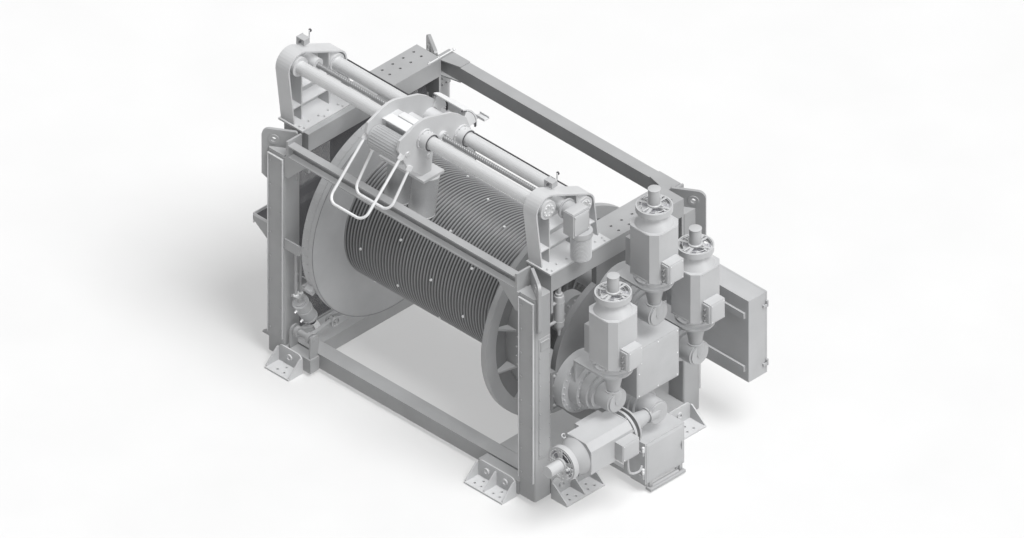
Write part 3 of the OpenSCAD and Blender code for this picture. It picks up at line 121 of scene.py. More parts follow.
class WinchPaints(bpy.types.PropertyGroup):
    frame_grey: colour("Frame", "Paint of the frame", (0.32, 0.323, 0.327))
    wind_grey: colour("Level wind", "Paint of the towers and the carriage", (0.50, 0.504, 0.51))
    drum_grey: colour("Drum", "Paint of the drum's barrel", (0.215, 0.218, 0.222))
    gear_grey: colour("Gearboxes", "Paint of the gearboxes and the flanges", (0.38, 0.384, 0.39))
    motor_grey: colour("Motors", "Paint of the motors and their boxes", (0.43, 0.434, 0.44))
    cabinet_grey: colour("Cabinets", "Powder coat of the cabinets", (0.40, 0.404, 0.41))
    loop_white: colour("Loops", "Paint of the guide loops and the chute", (0.66, 0.664, 0.67))
    roller_grey: colour("Rollers", "Polymer of the rollers", (0.36, 0.364, 0.37))
    zinc: colour("Fasteners", "Zinc plate of the bolts", (0.74, 0.745, 0.75))
    dark: colour("Dark parts", "Fans, seals and the mesh guard", (0.07, 0.07, 0.075))


class WinchSizes(bpy.types.PropertyGroup):
    edge: length("Edge", "Rounding of painted edges", 3.0)
    frame_bolt: length("Frame bolt", "Across-corners radius of the frame's bolts", 15.0)
    gear_bolt: length("Gearbox bolt", "Across-corners radius of the gearbox bolts", 12.0)
    motor_bolt: length("Motor bolt", "Across-corners radius of the motor bolts", 10.0)
    thread: length("Thread depth", "Depth of the lead screw's thread", 4.0)
    wire: length("Wire", "Radius of the fan guards' wire", 2.5)


def paints():
    return bpy.context.scene.winch_paints


def sizes():
    return bpy.context.scene.winch_sizes


# Materials


def tree(name):
    mat = bpy.data.materials.new(name)
    mat.use_nodes = True
    return mat, mat.node_tree.nodes, mat.node_tree.links, mat.node_tree.nodes["Principled BSDF"]


def object_place(nd):
    """The point on the piece in the row frame, which every pattern reads."""
    return nd.new("ShaderNodeTexCoord").outputs["Object"]


def noise(nd, ln, source, scale, detail=3.0):
    n = nd.new("ShaderNodeTexNoise")
    n.inputs["Scale"].default_value = scale
    n.inputs["Detail"].default_value = detail
    ln.new(source, n.inputs["Vector"])
    return n.outputs["Fac"]


def spread(nd, ln, value, low, high):
    m = nd.new("ShaderNodeMapRange")
    m.inputs["From Min"].default_value = 0.3
    m.inputs["From Max"].default_value = 0.7
    m.inputs["To Min"].default_value = low
    m.inputs["To Max"].default_value = high
    ln.new(value, m.inputs["Value"])
    return m.outputs["Result"]


def mix(nd, ln, factor, a, b):
    m = nd.new("ShaderNodeMix")
    m.data_type = "RGBA"
    ln.new(factor, m.inputs["Factor"])
    for value, socket in ((a, m.inputs[6]), (b, m.inputs[7])):
        if hasattr(value, "links"):
            ln.new(value, socket)
        else:
            socket.default_value = (*value, 1.0)
    return m.outputs[2]


def edge_mask(nd, ln, radius):
    """One at sharp edges and nought on flats, from the bevelled and the true normal."""
    bevel = nd.new("ShaderNodeBevel")
    bevel.samples = 4
    bevel.inputs["Radius"].default_value = radius
    geometry = nd.new("ShaderNodeNewGeometry")
    dot = nd.new("ShaderNodeVectorMath")
    dot.operation = "DOT_PRODUCT"
    ln.new(bevel.outputs["Normal"], dot.inputs[0])
    ln.new(geometry.outputs["Normal"], dot.inputs[1])
    step = nd.new("ShaderNodeMapRange")
    step.inputs["From Min"].default_value = 0.995
    step.inputs["From Max"].default_value = 0.86
    ln.new(dot.outputs["Value"], step.inputs["Value"])
    return step.outputs["Result"], bevel.outputs["Normal"]


def groove_shade_mask(nd, ln, place):
    """Nought in the bottom of the barrel's grooves and one on their crests, for the painted shade
    in the grooves.
    """
    low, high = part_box("drum_barrel")
    centre = (low + high) / 2
    radius = (high.z - low.z) / 2
    across = nd.new("ShaderNodeVectorMath")
    across.operation = "MULTIPLY_ADD"
    across.inputs[1].default_value = (0, 1, 1)
    across.inputs[2].default_value = (0, -centre.y, -centre.z)
    ln.new(place, across.inputs[0])
    reach = nd.new("ShaderNodeVectorMath")
    reach.operation = "LENGTH"
    ln.new(across.outputs["Vector"], reach.inputs[0])
    crest = nd.new("ShaderNodeMapRange")
    crest.inputs["From Min"].default_value = radius - 0.008
    crest.inputs["From Max"].default_value = radius - 0.0012
    ln.new(reach.outputs["Value"], crest.inputs["Value"])
    return crest.outputs["Result"]


def bumped(nd, ln, bsdf, height, strength, depth=0.001, normal=None):
    """Raises the surface by a height pattern, over a rounded normal if one is given."""
    bump = nd.new("ShaderNodeBump")
    bump.inputs["Strength"].default_value = strength
    bump.inputs["Distance"].default_value = depth
    ln.new(height, bump.inputs["Height"])
    if normal is not None:
        ln.new(normal, bump.inputs["Normal"])
    ln.new(bump.outputs["Normal"], bsdf.inputs["Normal"])


def shade(base, factor):
    """The colour made darker or paler by a factor, never past white."""
    return [min(1.0, c * factor) for c in base]


def coat(name, base, rough, edge=0.003, texture=0.06, highlight=0.35, groove_shade=False):
    """Sprayed paint: slight mottling, orange peel, paler edges as a painted highlight, and for the
    drum painted shade in the bottoms of its grooves.
    """
    mat, nd, ln, bsdf = tree(name)
    place = object_place(nd)
    patches = spread(nd, ln, noise(nd, ln, place, 2.6, 4.0), 0.0, 1.0)
    dull = mix(nd, ln, patches, shade(base, 0.93), shade(base, 1.05))
    # Painted shade: when set, the bottoms of the barrel's grooves are darkened to 0.16 of the
    # paint's colour
    if groove_shade:
        dull = mix(nd, ln, groove_shade_mask(nd, ln, place), shade(base, 0.16), dull)
    mask, rounded_normal = edge_mask(nd, ln, edge)
    # Painted highlight: sharp edges are mixed up to 0.35 of the way towards a paler colour
    edge_highlight = nd.new("ShaderNodeMath")
    edge_highlight.operation = "MULTIPLY"
    edge_highlight.inputs[1].default_value = highlight
    ln.new(mask, edge_highlight.inputs[0])
    ln.new(mix(nd, ln, edge_highlight.outputs[0], dull, shade(base, 1.35)), bsdf.inputs["Base Color"])
    ln.new(spread(nd, ln, noise(nd, ln, place, 14.0), rough - 0.06, rough + 0.08),
           bsdf.inputs["Roughness"])
    bumped(nd, ln, bsdf, noise(nd, ln, place, 420.0, 2.0), texture, normal=rounded_normal)
    bsdf.inputs["Coat Weight"].default_value = 0.15
    bsdf.inputs["Coat Roughness"].default_value = 0.25
    return mat


def machined(name, base, rough, metal=0.75, grain=(1.0, 60.0, 60.0)):
    """Turned or ground steel with fine marks along one direction."""
    mat, nd, ln, bsdf = tree(name)
    place = object_place(nd)
    stretch = nd.new("ShaderNodeMapping")
    stretch.inputs["Scale"].default_value = grain
    ln.new(place, stretch.inputs["Vector"])
    marks = noise(nd, ln, stretch.outputs["Vector"], 9.0, 5.0)
    tone = spread(nd, ln, marks, 0.0, 1.0)
    ln.new(mix(nd, ln, tone, shade(base, 0.86), base), bsdf.inputs["Base Color"])
    ln.new(spread(nd, ln, marks, rough - 0.07, rough + 0.10), bsdf.inputs["Roughness"])
    bsdf.inputs["Metallic"].default_value = metal
    bumped(nd, ln, bsdf, marks, 0.05, normal=edge_mask(nd, ln, 0.002)[1])
    return mat


def polymer(name, base, rough):
    """Moulded or turned plastic with a fine grain."""
    mat, nd, ln, bsdf = tree(name)
    place = object_place(nd)
    grain = noise(nd, ln, place, 260.0, 2.0)
    patches = spread(nd, ln, noise(nd, ln, place, 6.0), 0.0, 1.0)
    ln.new(mix(nd, ln, patches, shade(base, 0.92), base), bsdf.inputs["Base Color"])
    ln.new(spread(nd, ln, grain, rough - 0.05, rough + 0.05), bsdf.inputs["Roughness"])
    bumped(nd, ln, bsdf, grain, 0.12, 0.0006)
    return mat


# Filled when the finishes are mixed
FINISHES = {}
# The record's material slot of each finish, the finish of each slot, and the nodes that differ
PLAIN_FINISH = {
    "frame_paint": "frame", "drum_paint": "drum", "gear_paint": "gear", "motor_paint": "motor",
    "cabinet_paint": "cabinet", "white_paint": "loop", "bright_steel": "steel",
    "dark_steel": "black", "roller_polymer": "roller", "fan_plastic": "impeller",
}
OWN_FINISH = {
    "frame_bolts": "frame", "shell_bolts": "zinc", "guide_shafts": "shaft", "lead_screw": "screw",
    # Painted shade: the drive end plate takes the darkened gear paint, and the drive flange the
    # darker frame paint where the brake flange keeps the gear paint
    "drive_flange": "frame", "drive_end_plate": "painted_shade", "deck_feet": "wind",
    "left_tower": "wind", "right_tower": "wind", "carriage_frame": "wind",
}
SLOT_NODES = {part["node"]: part["material_slot"] for part in frame["record"]["subparts"]}


def mix_finishes():
    p = paints()
    edge = sizes().edge
    FINISHES.update({
        "frame": coat("Frame paint", p.frame_grey, 0.46, edge),
        "wind": coat("Level wind paint", p.wind_grey, 0.42, edge),
        # The drum's paint carries painted shade in the bottoms of its grooves
        "drum": coat("Drum paint", p.drum_grey, 0.44, edge, groove_shade=True),
        "gear": coat("Gearbox paint", p.gear_grey, 0.42, edge),
        "motor": coat("Motor paint", p.motor_grey, 0.40, edge),
        "cabinet": coat("Cabinet powder coat", p.cabinet_grey, 0.50, edge, 0.12),
        "loop": coat("White paint", p.loop_white, 0.34, 0.001, 0.03),
        "steel": machined("Machined steel", (0.78, 0.785, 0.79), 0.36, 0.45),
        "zinc": machined("Zinc plate", p.zinc, 0.38, 0.25, (40.0, 40.0, 40.0)),
        "black": machined("Oiled dark steel", (0.10, 0.10, 0.105), 0.40, 0.5),
        "roller": polymer("Roller polymer", p.roller_grey, 0.27),
        "fan": polymer("Fan plastic", p.dark, 0.5),
        "impeller": polymer("Impeller plastic", shade(p.dark, 3.6), 0.45),
        "shaft": machined("Ground shaft steel", (0.62, 0.625, 0.63), 0.30, 0.15, (1.0, 90.0, 90.0)),
        "screw": machined("Rolled screw steel", (0.30, 0.303, 0.307), 0.34, 0.3),
        # Painted shade: the gear paint darkened, for pieces that lie in shade
        "painted_shade": coat("Shaded flange paint", shade(p.gear_grey, 0.45), 0.55, edge),
    })


# Making pieces


def clear():
    if bpy.context.object and bpy.context.object.mode != "OBJECT":
        bpy.ops.object.mode_set(mode="OBJECT")
    bpy.ops.object.select_all(action="DESELECT")


def only(obj):
    clear()
    obj.select_set(True)
    bpy.context.view_layer.objects.active = obj


def settle(obj, matrix=None):
    """Turns and moves the piece, then puts its place in its mesh."""
    if matrix is not None:
        obj.matrix_world = matrix @ obj.matrix_world
    only(obj)
    bpy.ops.object.transform_apply(location=True, rotation=True, scale=True)
    return obj


def facing(axis):
    return Vector((0, 0, 1)).rotation_difference(Vector(axis)).to_matrix().to_4x4()


def turned(name, steps, spot=(0, 0, 0), axis=(0, 0, 1), sides=40):
    """A solid turned from (height, radius) steps in millimetres, standing on spot (metres)."""
    clear()
    z, r = steps[0]
    bpy.ops.mesh.primitive_circle_add(vertices=sides, radius=r / 1000, fill_type="NGON",
                                      location=(0, 0, z / 1000))
    obj = bpy.context.object
    obj.name = name
    bpy.ops.object.transform_apply(location=True, rotation=True, scale=True)
    bpy.ops.object.mode_set(mode="EDIT")
    bpy.ops.mesh.select_all(action="SELECT")
    for z1, r1 in steps[1:]:
        bpy.ops.mesh.extrude_region_move(
            TRANSFORM_OT_translate={"value": (0, 0, (z1 - z) / 1000)})
        if r1 != r:
            bpy.ops.transform.resize(value=(r1 / r, r1 / r, 1), center_override=(0, 0, z1 / 1000))
        z, r = z1, r1
    bpy.ops.mesh.select_all(action="SELECT")
    bpy.ops.mesh.normals_make_consistent(inside=False)
    bpy.ops.object.mode_set(mode="OBJECT")
    return settle(obj, Matrix.Translation(Vector(spot)) @ facing(axis))


def hoop(name, radius, wire, spot, axis=(0, 0, 1), around=48, section=8):
    """A closed wire or bead, in millimetres."""
    clear()
    bpy.ops.mesh.primitive_torus_add(major_radius=radius / 1000, minor_radius=wire / 1000,
                                     major_segments=around, minor_segments=section)
    obj = bpy.context.object
    obj.name = name
    return settle(obj, Matrix.Translation(Vector(spot)) @ facing(axis))


def slab(name, low, high, bevel=2.0, raised=None):
    """A box with bevelled edges between two points in metres.

    The face along raised's axis is inset and lifted: (axis, inset, height), in millimetres.
    """
    clear()
    low, high = Vector(low), Vector(high)
    bpy.ops.mesh.primitive_cube_add(size=1, location=(low + high) / 2)
    obj = bpy.context.object
    obj.name = name
    obj.scale = high - low
    bpy.ops.object.transform_apply(location=True, rotation=True, scale=True)
    bpy.ops.object.mode_set(mode="EDIT")
    if raised:
        axis, inset, height = raised
        bpy.ops.mesh.select_all(action="DESELECT")
        bpy.ops.object.mode_set(mode="OBJECT")
        for face in obj.data.polygons:
            face.select = face.normal.dot(Vector(axis)) > 0.9
        bpy.ops.object.mode_set(mode="EDIT")
        bpy.ops.mesh.inset(thickness=inset / 1000, depth=0)
        bpy.ops.mesh.inset(thickness=abs(height) / 1000, depth=height / 1000)
    bpy.ops.mesh.select_all(action="SELECT")
    bpy.ops.mesh.bevel(offset=bevel / 1000, segments=2, affect="EDGES")
    bpy.ops.mesh.normals_make_consistent(inside=False)
    bpy.ops.object.mode_set(mode="OBJECT")
    return settle(obj)


def pipe(name, points, radius, sides=12):
    """A bent tube through points in metres, radius in millimetres."""
    clear()
    bpy.ops.curve.primitive_nurbs_path_add()
    obj = bpy.context.object
    obj.name = name
    spline = obj.data.splines[0]
    while len(spline.points) < len(points):
        spline.points.add(1)
    for point, co in zip(spline.points, points):
        point.co = (*co, 1.0)
    spline.order_u = 3
    spline.use_endpoint_u = True
    obj.data.resolution_u = 6
    obj.data.bevel_depth = radius / 1000
    obj.data.bevel_resolution = max(1, sides // 4 - 1)
    obj.data.use_fill_caps = True
    bpy.ops.object.convert(target="MESH")
    return settle(bpy.context.object)


def joined(name, pieces):
    clear()
    for piece in pieces:
        piece.select_set(True)
    bpy.context.view_layer.objects.active = pieces[0]
    if len(pieces) > 1:
        bpy.ops.object.join()
    obj = bpy.context.view_layer.objects.active
    obj.name = name
    return obj


def copied(piece, matrices):
    """Copies a piece, each with its own mesh, and removes the pattern."""
    copies = []
    for matrix in matrices:
        twin = piece.copy()
        twin.data = piece.data.copy()
        bpy.context.scene.collection.objects.link(twin)
        copies.append(settle(twin, matrix))
    bpy.data.objects.remove(piece)
    return copies


def fit(obj, finish, body="frame", angle=30):
    """Gives a finished piece its material and the body it rides on."""
    only(obj)
    bpy.ops.object.shade_smooth_by_angle(angle=math.radians(angle))
    obj.data.materials.clear()
    obj.data.materials.append(FINISHES[finish])
    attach(obj, body)
    return obj


def bolt_pattern(radius):
    """A hexagon head on a washer with the stud's end showing, radius in millimetres."""
    washer = turned("washer", [(0, radius * 1.25), (radius * 0.2, radius * 1.25)], sides=20)
    head = turned("head", [(radius * 0.2, radius * 0.98), (radius * 0.85, radius * 0.98),
                           (radius * 0.98, radius * 0.84)], sides=6)
    stud = turned("stud", [(radius * 0.9, radius * 0.5), (radius * 1.2, radius * 0.5),
                           (radius * 1.28, radius * 0.42)], sides=12)
    return joined("bolt", [washer, head, stud])


def bolts(name, spots, radius, body="frame", finish="zinc"):
    """One object of bolts at (point, direction) pairs, radius in metres."""
    matrices = [Matrix.Translation(Vector(p)) @ facing(d) for p, d in spots]
    return fit(joined(name, copied(bolt_pattern(radius * 1000), matrices)), finish, body)


def past_hole(offset, radius, centre, low, high):
    """The stretches of a wire that a round hole leaves, in millimetres."""
    if abs(offset) >= radius:
        return [(low, high)]
    half = math.sqrt(radius ** 2 - offset ** 2)
    return [(low, centre - half), (centre + half, high)]


def circle_of(count, radius, x, centre, facing_x=1.0, start=0.0):
    """Points round an axis along X, in millimetres, with their direction."""
    spots = []
    for i in range(count):
        a = math.radians(start + 360 * i / count)
        spots.append((at(x, centre[0] + radius * math.cos(a), centre[1] + radius * math.sin(a)),
                      (facing_x, 0, 0)))
    return spots


# Where each drive unit stands
UNITS = []
for number, angle in enumerate(UNIT_ANGLES):
    a = math.radians(angle)
    spot = (MID_Y + GEAR_DISTANCE * math.cos(a), DRUM_Z + GEAR_DISTANCE * math.sin(a))
    lean = math.pi / 2 if number == FLAT_UNIT else 0.0
    UNITS.append(Matrix.Translation(at(0, *spot)) @ Matrix.Rotation(lean, 4, "X"))


def local(x, y, z):
    """A point given in millimetres from a drive unit's own centre, in metres."""
    return Vector((x, y, z)) / 1000


def for_units(patterns):
    """Copies each (pattern, finish, label) to the four drive units."""
    for pattern, finish, label in patterns:
        for i, twin in enumerate(copied(pattern, UNITS)):
            twin.name = "%s_%d" % (label, i + 1)
            fit(twin, finish)


class WINCH_OT_finishes(bpy.types.Operator):
    """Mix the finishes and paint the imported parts"""

    bl_idname = "winch.finishes"
    bl_label = "Finishes"

    def execute(self, context):
        mix_finishes()
        for name, obj in nodes.items():
            obj.data.materials.clear()
            finish = OWN_FINISH.get(name, PLAIN_FINISH[SLOT_NODES[name]])
            obj.data.materials.append(FINISHES[finish])
        return {"FINISHED"}


class WINCH_OT_stage(bpy.types.Operator):
    """Lay the floor, hang the lights and set the camera"""

    bl_idname = "winch.stage"
    bl_label = "Stage"

    def execute(self, context):
        scene = context.scene
        clear()
        bpy.ops.mesh.primitive_plane_add(size=80, location=(0, 0, -0.002))
        floor = context.object
        floor.name = "studio_floor"
        mat, nd, ln, bsdf = tree("Studio floor")
        place = object_place(nd)
        tone = spread(nd, ln, noise(nd, ln, place, 0.8), 0.0, 1.0)
        ln.new(mix(nd, ln, tone, (0.60, 0.60, 0.60), (0.62, 0.62, 0.62)), bsdf.inputs["Base Color"])
        bsdf.inputs["Roughness"].default_value = 0.9
        floor.data.materials.append(mat)
        world = bpy.data.worlds.new("Studio")
        scene.world = world
        world.use_nodes = True
        sky = world.node_tree.nodes["Background"]
        sky.inputs["Color"].default_value = (1.0, 1.0, 1.0, 1.0)
        sky.inputs["Strength"].default_value = 0.24
        for name, aim, power, shadow in (
                ("Key light", (0.62, -0.02, 1.05), 2.6, True),
                ("Top fill", (0.0, 0.15, 1.0), 1.9, False),
                ("End fill", (1.0, 0.3, 0.25), 0.8, False)):
            clear()
            bpy.ops.object.light_add(type="SUN", location=Vector(aim).normalized() * 9)
            light = context.object
            light.name = name
            light.data.energy = power
            light.data.angle = math.radians(30)
            light.data.use_shadow = shadow
            light.rotation_euler = facing(aim).to_euler()
        scene.view_settings.view_transform = "Standard"
        scene.view_settings.look = "None"
        # The photograph's isometric view, without perspective, aimed at the middle of the drum
        towards = Vector((1, -1, 1)).normalized()
        target = at(-1413.2, 1128.6, 1285.0)
        bpy.ops.object.camera_add(location=target + towards * 14)
        camera = context.object
        camera.name = "Camera"
        camera.rotation_euler = towards.to_track_quat("Z", "Y").to_euler()
        camera.data.type = "ORTHO"
        camera.data.ortho_scale = 8.96
        camera.data.clip_end = 100
        scene.camera = camera
        return {"FINISHED"}


class WINCH_OT_frame_fasteners(bpy.types.Operator):
    """Bolt the beams, the end plates and the bearings"""

    bl_idname = "winch.frame_fasteners"
    bl_label = "Frame fasteners"

    def execute(self, context):
        r = sizes().frame_bolt
        # Name, faces of the beam's end plates with their directions, and the rows along Y and Z
        for name, faces, rows, heights in (
                ("beam_bolts", ((-246, -1), (-3058, 1)), (35, 70), (2050, 2110, 2170)),
                ("rear_beam_bolts", ((-220, -1), (-3084, 1)), (1935, 1990), (2025, 2090, 2150))):
            spots = [(at(x, y, z), (d, 0, 0)) for x, d in faces for y in rows for z in heights]
            bolts(name, spots, r * 0.8, finish="frame")
        spots = []
        for x, d in zip(BEARING_FACES, (1, -1)):
            spots += circle_of(16, 200, x, (MID_Y, DRUM_Z), d)
        bolts("bearing_bolts", spots, r, finish="frame")
        spots = [(at(0, MID_Y + side * 215, 330 + 32 * k), (1, 0, 0))
                 for side in (-1, 1) for k in range(6)]
        spots += [(at(0, y, 980 + 104 * k), (1, 0, 0))
                  for y in (235, 275, 1766, 1806) for k in range(4)]
        bolts("end_plate_bolts", spots, r * 0.85, finish="frame")
        return {"FINISHED"}


class WINCH_OT_post_fittings(bpy.types.Operator):
    """Add the accumulator, the post's strip, the cover lips, the corner rod and the shelf's rim"""

    bl_idname = "winch.post_fittings"
    bl_label = "Post fittings"

    def execute(self, context):
        strip = [slab("strip", at(-1, 45, 487), at(6, 185, 1772), 2, ((1, 0, 0), 12, 1)),
                 slab("strip", at(-1, 60, 1640), at(14, 170, 1740), 3, ((1, 0, 0), 10, -2))]
        fit(joined("post_strip", strip), "frame")
        spots = [(at(6, y, z), (1, 0, 0)) for y in (57, 173) for z in range(520, 1600, 150)]
        bolts("strip_bolts", spots, sizes().motor_bolt * 0.6, finish="frame")
        x, y, clamp_heights = -34, 330, (1830, 2030)
        shell = [(0, 34), (10, 44), (24, 48), (318, 48), (334, 44), (340, 34), (360, 34),
                 (364, 20), (448, 20)]
        nozzle = [(0, 9), (2, 13), (30, 13), (34, 18), (62, 18), (64, 24), (90, 24)]
        body = [turned("shell", shell, at(x, y, 1757)),
                turned("nozzle", nozzle, at(x, y, 1668), (0, 0, 1), 24)]
        fit(joined("accumulator", body), "frame")
        clamps = [hoop("clamp", 49, 3, at(x, y, z), (0, 0, 1), 40) for z in clamp_heights]
        clamps += [slab("clamp", at(x - 12, POST_W - 2, z - 10), at(x + 12, 284, z + 10), 2)
                   for z in clamp_heights]
        fit(joined("accumulator_clamps", clamps), "frame")
        lips, cover_low, cover_high, depth = [], 250, 2165, 20
        for x0 in (-FRAME_L, -POST_W):
            for y0 in (-depth, FRAME_W):
                y1 = y0 + depth
                lips.append(slab("lip", at(x0 + 6, y0, cover_high),
                                 at(x0 + POST_W - 6, y1, cover_high + 8), 2))
                for dx in (8, 187):
                    lips.append(slab("lip", at(x0 + dx, y0, cover_low),
                                     at(x0 + dx + 5, y1, cover_high + 1), 1))
        # Painted highlight: the lips take the paler level wind paint, for bright lines along the
        # edges of the posts' covers
        fit(joined("cover_lips", lips), "wind")
        rod = turned("rod", [(0, 6), (310, 6), (311, 12), (322, 14), (333, 12), (334, 7)],
                     at(-3014, 1690, GIRDER_TOP + 6), (0, 1, 0), 16)
        clips = [slab("clip", at(-3026, y, GIRDER_TOP - 2), at(-3006, y + 16, GIRDER_TOP + 16), 2)
                 for y in (1705, 1815)]
        fit(joined("corner_rod", [rod] + clips), "zinc")
        out, side, low, high = -FRAME_L - 186, -FRAME_L, 1388, 1418
        tray = [slab("rim", at(out, 0, 1311), at(out + 8, FRAME_W, high), 2)]
        tray += [slab("rim", at(out + 6, y, low), at(side, y + 8, high), 2)
                 for y in (0, FRAME_W - 8)]
        fit(joined("shelf_rim", tray), "wind")
        step = 505
        mats = [slab("mat", at(out + 12, 12 + i * step, low),
                     at(side - 6, (i + 1) * step, low + 6), 2) for i in range(4)]
        fit(joined("shelf_mats", mats), "fan")
        return {"FINISHED"}


class WINCH_OT_mesh_guard(bpy.types.Operator):
    """Weave the wire guard inside the idle end and frame it"""

    bl_idname = "winch.mesh_guard"
    bl_label = "Mesh guard"

    def execute(self, context):
        x = -(FRAME_L - 136)
        low_y, high_y, low_z, high_z = 204, FRAME_W - 204, 202, 2200
        pitch, radius, hole = 14, 4.9, 242
        upright = turned("wire", [(0, radius), (1000, radius)], sides=4)
        across = turned("wire", [(0, radius), (1000, radius)], axis=(0, 1, 0), sides=4)
        uprights, crosses = [], []
        for k in range(int((high_y - low_y) / pitch)):
            y = low_y + pitch * (k + 0.5)
            for start, end in past_hole(y - MID_Y, hole, DRUM_Z, low_z, high_z):
                uprights.append(Matrix.Translation(at(x, y, start))
                                @ Matrix.Diagonal((1, 1, (end - start) / 1000, 1)))
        for k in range(int((high_z - low_z) / pitch)):
            z = low_z + pitch * (k + 0.5)
            for start, end in past_hole(z - DRUM_Z, hole, MID_Y, low_y, high_y):
                crosses.append(Matrix.Translation(at(x + 7, start, z))
                               @ Matrix.Diagonal((1, (end - start) / 1000, 1, 1)))
        fit(joined("guard_wires", copied(upright, uprights) + copied(across, crosses)), "fan")
        back, front, width = x - 12, x + 14, 24
        rails = [slab("rail", at(back, y, low_z), at(front, y + width, high_z), 2)
                 for y in (low_y - 4, high_y - 20)]
        rails += [slab("rail", at(back, low_y, z), at(front, high_y, z + width), 2)
                  for z in (low_z, high_z - width)]
        collar = [(0, 240), (26, 240), (26, 248), (0, 248), (0, 240)]
        rails.append(turned("collar", collar, at(back, MID_Y, DRUM_Z), (1, 0, 0), 64))
        fit(joined("guard_frame", rails), "frame")
        return {"FINISHED"}


class WINCH_OT_drum(bpy.types.Operator):
    """Bolt the drum's hubs and housing, and add a ring of painted shade on the drive flange's web,
    edge beads and rope clamps
    """

    bl_idname = "winch.drum"
    bl_label = "Drum"

    def execute(self, context):
        centre = (MID_Y, DRUM_Z)
        r = sizes().frame_bolt
        housing, housing_r, count = [], 745, 48
        for k in range(count):
            a = math.radians(360 / count * (k + 0.5))
            radial = (0.0, math.cos(a), math.sin(a))
            housing.append((at(-505, MID_Y + housing_r * radial[1], DRUM_Z + housing_r * radial[2]),
                            radial))
        bolts("housing_bolts", housing, r * 0.7, "drum", "frame")
        for name, x, d in (("hub_bolts", HUB_FACES[1], 1), ("brake_hub_bolts", HUB_FACES[0], -1)):
            bolts(name, circle_of(12, 150, x, centre, d), r * 0.9, "drum", "gear")
        # A thin dark ring of painted shade on the drive flange's web, between its rim and its
        # housing
        ring = [(0, 747), (1.5, 747), (1.5, 889), (0, 889)]
        fit(turned("flange_shade_ring", ring, at(-644, *centre), (1, 0, 0), 128), "painted_shade", "drum")
        edges = [hoop("edge", 1011, 4, at(x, *centre), (1, 0, 0), 128)
                 for x in (FLANGE_FACES[0] + 3, FLANGE_FACES[1] - 3)]
        fit(joined("flange_edges", edges), "drum", "drum")
        clamps, clamp_r, half = [], 770, local(12, 34, 24)
        for k in range(3):
            a = math.radians(118 + 9 * k)
            p = at(-705, MID_Y + clamp_r * math.cos(a), DRUM_Z + clamp_r * math.sin(a))
            clamps.append(slab("clamp", p - half, p + half, 3))
        fit(joined("rope_clamps", clamps), "steel", "drum")
        return {"FINISHED"}


class WINCH_OT_drive_units(bpy.types.Operator):
    """Fit the gearboxes and motors with bolts, covers, glands and lifting eyes"""

    bl_idname = "winch.drive_units"
    bl_label = "Drive units"

    def execute(self, context):
        m = sizes().motor_bolt * 1000
        g = sizes().gear_bolt * 1000
        # Flanges of the gearbox: face, number of bolts, their circle and their size
        parts = []
        for x, count, radius, size in (
                (105, 24, 262, 0.85), (210, 16, 193, 0.85), (499, 8, 84, 0.55)):
            for i in range(count):
                a = 2 * math.pi * i / count
                spot = local(x, radius * math.cos(a), radius * math.sin(a))
                parts.append(Matrix.Translation(spot) @ facing((1, 0, 0))
                             @ Matrix.Scale(g * size / BOLT, 4))
        gear = joined("gear_bolts", copied(bolt_pattern(BOLT), parts))
        spots = []
        for radius, z, up in ((170, 411, 1), (145, 325, -1)):
            for i in range(8):
                a = 2 * math.pi * (i + 0.5) / 8
                spot = local(MOTOR_X + radius * math.cos(a), radius * math.sin(a), z)
                spots.append(Matrix.Translation(spot) @ facing((0, 0, up))
                             @ Matrix.Scale(m / BOLT, 4))
        flange = joined("flange_bolts", copied(bolt_pattern(BOLT), spots))
        box_x = MOTOR_X + MOTOR_HALF + TERMINAL_D
        lid = slab("lid", local(box_x - 1, -80, 472), local(box_x + 5, 80, 660), 2,
                   ((1, 0, 0), 10, 2))
        band, narrow, wide = [], 97, MOTOR_HALF + 3
        for z in (MOTOR_BODY[0], MOTOR_BODY[1] - 14):
            for x, y in ((narrow, wide), (wide, narrow)):
                band.append(slab("cap", local(MOTOR_X - x, -y, z),
                                 local(MOTOR_X + x, y, z + 14), 2))
        caps = joined("caps", band)
        glands, gland_x, gland_y = [], MOTOR_X + 228, -TERMINAL_W / 2 - 14
        for z in (496, 554, 612):
            spot = local(gland_x, gland_y, z)
            glands.append(turned("gland", [(0, 17), (10, 17), (12, 15)], spot, (0, -1, 0), 6))
            glands.append(turned("gland", [(12, 12), (22, 12), (26, 8)], spot, (0, -1, 0), 16))
        gland = joined("glands", glands)
        plate = slab("gland_plate", local(gland_x - 40, gland_y, 474),
                     local(gland_x + 40, -TERMINAL_W / 2 + 1, 656), 1)
        screw = joined("screws", [
            turned("screw", [(0, 5), (3, 5), (4, 4)], local(box_x + 5, y, z), (1, 0, 0), 12)
            for y in (-70, 70) for z in (482, 650)])
        eye = hoop("eye", 20, 6, local(MOTOR_X - 145, 145, 975), (1, 1, 0), 24)
        for_units((
            (gear, "gear", "gearbox_bolts"), (flange, "gear", "motor_flange_bolts"),
            (lid, "motor", "terminal_lid"), (caps, "motor", "motor_caps"),
            # The cable glands take the same darkened gear paint that serves as painted shade
            (gland, "painted_shade", "cable_glands"), (plate, "gear", "gland_plate"),
            (screw, "steel", "lid_screws"), (eye, "motor", "lifting_eye")))
        return {"FINISHED"}


